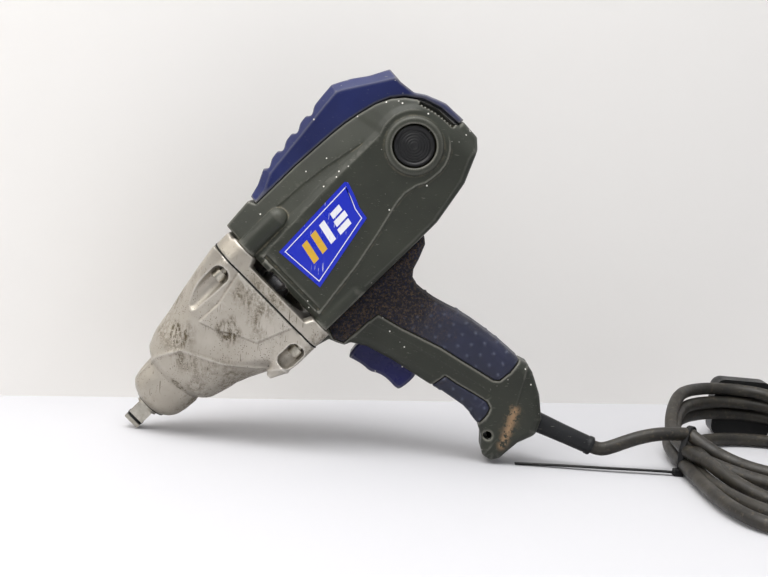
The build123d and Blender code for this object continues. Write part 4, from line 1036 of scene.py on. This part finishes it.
# ------------------------------------------------------------------ turned and flat pieces
def turned(name, profile, origin, axis, sides=72):
    """A closed turned piece: profile is (distance along axis, radius) in mm, from the axis to the axis."""
    axis = Vector(axis).normalized()
    side = axis.orthogonal().normalized()
    other = axis.cross(side)
    verts, faces = [], []
    for along, r in profile:
        for k in range(sides):
            a = 2 * math.pi * k / sides
            verts.append(origin + axis * along * MM + (side * math.cos(a) + other * math.sin(a)) * r * MM)
    for i in range(len(profile) - 1):
        for k in range(sides):
            m = (k + 1) % sides
            faces.append((i * sides + k, i * sides + m, (i + 1) * sides + m, (i + 1) * sides + k))
    verts += [origin + axis * profile[0][0] * MM, origin + axis * profile[-1][0] * MM]
    last = (len(profile) - 1) * sides
    for k in range(sides):
        m = (k + 1) % sides
        faces.append((len(verts) - 2, m, k))
        faces.append((len(verts) - 1, last + k, last + m))
    mesh = bpy.data.meshes.new(name)
    mesh.from_pydata(verts, [], faces)
    for polygon in mesh.polygons:
        polygon.use_smooth = True
    mesh.update()
    return add_object(name, mesh)


def cap_profile():
    """Brush cap: dished face with fine turned rings and a flat middle."""
    points = [(-4.2, 0.01), (-4.2, CAP_R - 0.5), (0.9, CAP_R - 0.5), (1.5, CAP_R - 1.0), (1.5, CAP_R - 2.2),
              (0.6, CAP_R - 2.9)]
    r = CAP_R - 3.4
    while r > 2.6:
        points += [(0.2, r), (0.2, r - 0.5), (0.65, r - 0.75), (0.65, r - 1.15)]
        r -= 1.9
    return points + [(0.3, 2.0), (0.3, 0.01)]


for hand, sign in (("left", -1), ("right", 1)):
    spot = place(CAP[0], sign * (BARREL_HALF - 0.6), CAP[1])
    cap = turned("brush_cap_cover_" + hand, cap_profile(), spot, RIGHT * sign, 96)
    dress(cap, "black_plastic", "tool", "brush_cap_" + hand)


def inset(points, d):
    """A convex outline moved inwards by d."""
    p = [Vector(q) for q in points]
    middle = sum(p, Vector((0, 0))) / len(p)
    lines = []
    for a, b in zip(p, p[1:] + p[:1]):
        n = Vector((-(b - a).y, (b - a).x)).normalized()
        if n.dot(middle - a) < 0:
            n = -n
        lines.append((a + n * d, b - a))
    out = []
    for (a, r), (b, q) in zip(lines[-1:] + lines[:-1], lines):
        t = (b - a).cross(q) / r.cross(q)
        out.append(tuple(a + r * t))
    return out


def sticker(name, layers):
    """Thin flat prints on the left side; a layer is (outline, inner side, thickness, pale, gold)."""
    verts, faces, marks = [], [], []
    for outline, lift, thick, pale, gold in layers:
        first, count = len(verts), len(outline)
        for level in (lift, lift + thick):
            verts += [place(u, -level, w) for u, w in outline]
        quads = [(first + k, first + (k + 1) % count, first + count + (k + 1) % count, first + count + k)
                 for k in range(count)]
        faces += [tuple(first + count + k for k in range(count)),
                  tuple(first + k for k in reversed(range(count)))] + quads
        marks += [(pale, gold)] * (count + 2)
    mesh = bpy.data.meshes.new(name)
    mesh.from_pydata(verts, [], faces)
    for index, key in enumerate(("pale", "gold")):
        layer = mesh.attributes.new(key, "FLOAT", "FACE")
        layer.data.foreach_set("value", np.array(marks, np.float32)[:, index].copy())
    mesh.update()
    fix = bmesh.new()
    fix.from_mesh(mesh)
    bmesh.ops.recalc_face_normals(fix, faces=fix.faces)
    fix.to_mesh(mesh)
    fix.free()
    return add_object(name, mesh)


def slanted(u, w, length, height, lean=4.0):
    """A leaning bar of the sticker's pattern; the sticker itself tilts a little."""
    rise = 0.05
    return [(u, w), (u + length, w + length * rise), (u + length + lean, w + height + length * rise),
            (u + lean, w + height)]


STICKER = [(168.5, 12.6), (234.4, 15.6), (235.8, 13.6), (232.9, 4.8), (229.5, -3.5), (228, -12.6),
           (171.6, -24.4)]
STICKER_BARS = [(180, 5, 15, 1), (189, 5, 15, 1), (198, 5, 15, 0), (207, 11, 4.2, 0), (209, 11, 4.2, 0),
                (211, 9, 4.2, 0)]
sheet = [(STICKER, 40.9, 0.36, 0, 0), (inset(STICKER, 2.6), 41.2, 0.10, 1, 0),
         (inset(STICKER, 3.2), 41.24, 0.10, 0, 0)]
for number, (start, length, tall, gold) in enumerate(STICKER_BARS):
    base = -10 + (start - 180) * 0.09
    if number > 2:
        base = -8.4 + 5.6 * (number - 3)
    sheet.append((slanted(start, base, length, tall, tall * 0.2), 41.28, 0.1, 1, gold))
dress(sticker("side_sticker", sheet), "label", "tool", "side_label")


def swept(name, path, up, wide, thick, closed):
    """A flat strap along a path of points (mm, row frame); up gives its outward side at each point."""
    ring = [(-wide / 2, 0), (wide / 2, 0), (wide / 2, thick * 0.7), (wide / 2 - 0.4, thick),
            (-wide / 2 + 0.4, thick), (-wide / 2, thick * 0.7)]
    verts, faces = [], []
    count = len(path)
    for k, (spot, out) in enumerate(zip(path, up)):
        ahead = path[(k + 1) % count] if closed or k < count - 1 else spot
        behind = path[k - 1] if closed or k else spot
        side = (ahead - behind).cross(out).normalized()
        verts += [(spot + side * a + out * b) * MM for a, b in ring]
    size = len(ring)
    for k in range(count if closed else count - 1):
        m = (k + 1) % count
        for j in range(size):
            i = (j + 1) % size
            faces.append((k * size + j, k * size + i, m * size + i, m * size + j))
    if not closed:
        faces += [tuple(range(size)), tuple(reversed(range((count - 1) * size, count * size)))]
    return shape(name, verts, faces)


def shape(name, verts, faces, bevel=0.0):
    """A closed mesh with its faces turned outwards and, where asked, its edges rounded."""
    mesh = bpy.data.meshes.new(name)
    work = bmesh.new()
    made = [work.verts.new(v) for v in verts]
    for face in faces:
        work.faces.new([made[k] for k in face])
    bmesh.ops.recalc_face_normals(work, faces=work.faces)
    if bevel:
        bmesh.ops.bevel(work, geom=list(work.edges), offset=bevel * MM, segments=3, profile=0.5,
                        affect="EDGES")
    work.to_mesh(mesh)
    work.free()
    return add_object(name, mesh)


def joined(name, pieces):
    """Several meshes as one."""
    work = bmesh.new()
    for piece in pieces:
        work.from_mesh(piece.data)
        bpy.data.objects.remove(piece)
    mesh = bpy.data.meshes.new(name)
    work.to_mesh(mesh)
    work.free()
    return add_object(name, mesh)


def hull(points):
    """Convex outline of flat points, turning left."""
    points = sorted(points)
    chains = []
    for run in (points, points[::-1]):
        chain = []
        for p in run:
            while len(chain) > 1 and ((chain[-1][0] - chain[-2][0]) * (p[1] - chain[-2][1])
                                      - (chain[-1][1] - chain[-2][1]) * (p[0] - chain[-2][0])) <= 0:
                chain.pop()
            chain.append(p)
        chains += chain[:-1]
    return chains


def make_tie():
    """Cable tie: band drawn tight round the turns, square head on the ground and its long tail."""
    across = Vector((*TIE_ACROSS, 0)).normalized()
    centre = Vector((*TIE_SPOT, 0))
    wrap_r = CORD / 2 + 0.15
    ring = [(a + wrap_r * math.cos(t), h + wrap_r * math.sin(t)) for (a, h), *_ in COIL_TURNS
            for t in [2 * math.pi * k / 24 for k in range(24)]]
    outline = hull([(a, max(h, 0.3)) for a, h in ring])
    path = [centre + across * a + Vector((0, 0, h)) for a, h in outline]
    middle = centre + Vector((0, 0, 17))
    out = []
    for k, spot in enumerate(path):
        run = path[(k + 1) % len(path)] - path[k - 1]
        n = Vector((0, 0, 1)).cross(across).cross(run).normalized()
        out.append(n if n.dot(spot - middle) > 0 else -n)
    band = swept("tie_band", path, out, 4.6, 1.1, True)
    head_spot = centre - across * 13.2
    tail_end = Vector((EXIT[0] - 55, -9, 0))
    way = (tail_end - head_spot).normalized()
    side = Vector((-way.y, way.x, 0))
    corners = [head_spot + way * a + side * b + Vector((0, 0, c)) for c in (0.3, 5.2) for a, b in
               ((-3.6, -3.1), (3.6, -3.1), (3.6, 3.1), (-3.6, 3.1))]
    head = shape("tie_head", [p * MM for p in corners],
                 [(0, 3, 2, 1), (4, 5, 6, 7), (0, 1, 5, 4), (1, 2, 6, 5), (2, 3, 7, 6), (3, 0, 4, 7)], 0.6)
    length = (tail_end - head_spot).length
    run = []
    for k in range(25):
        t = k / 24
        bow = 2.4 * math.sin(math.pi * t) ** 2
        lift = 1.9 * (1 - t) + 0.9 * math.sin(math.pi * t)
        run.append(head_spot + way * (length * t) + side * bow + Vector((0, 0, 0.2 + lift)))
    tail = swept("tie_tail", run, [Vector((0, 0, 1))] * len(run), 4.2, 1.1, False)
    return joined("tie_strap", (band, head, tail))


tie = dress(make_tie(), "tie_nylon", "tool", "cable_tie")

relief_angle = math.radians(-68.5)
relief_way = BACK * math.cos(relief_angle) + TOP * math.sin(relief_angle)
boot_profile = [(-11, 6.4), (-1.2, 6.4), (-0.6, 7.2), (0.4, 7.6)]
boot_profile += [(t, 7.6 - 1.2 * t / 48 - 0.25 * math.sin(math.pi * t / 45)) for t in range(3, 44, 3)]
boot_profile += [(44.2, 6.4), (44.8, 6.9), (47.5, 6.9), (48, 6.5)]
boot = turned("relief_boot", boot_profile, place(210.0, 0, -201.5), relief_way, 64)
dress(boot, "relief_rubber", "tool", "strain_relief")

round(spline_length(mains_cord), 2)

for node in nodes.values():
    for slot in node.material_slots:
        key = slot.material.name.split(".")[0]
        if key in MATERIALS:
            slot.material = MATERIALS[key]
        else:
            print("no material for", node.name, slot.material.name)
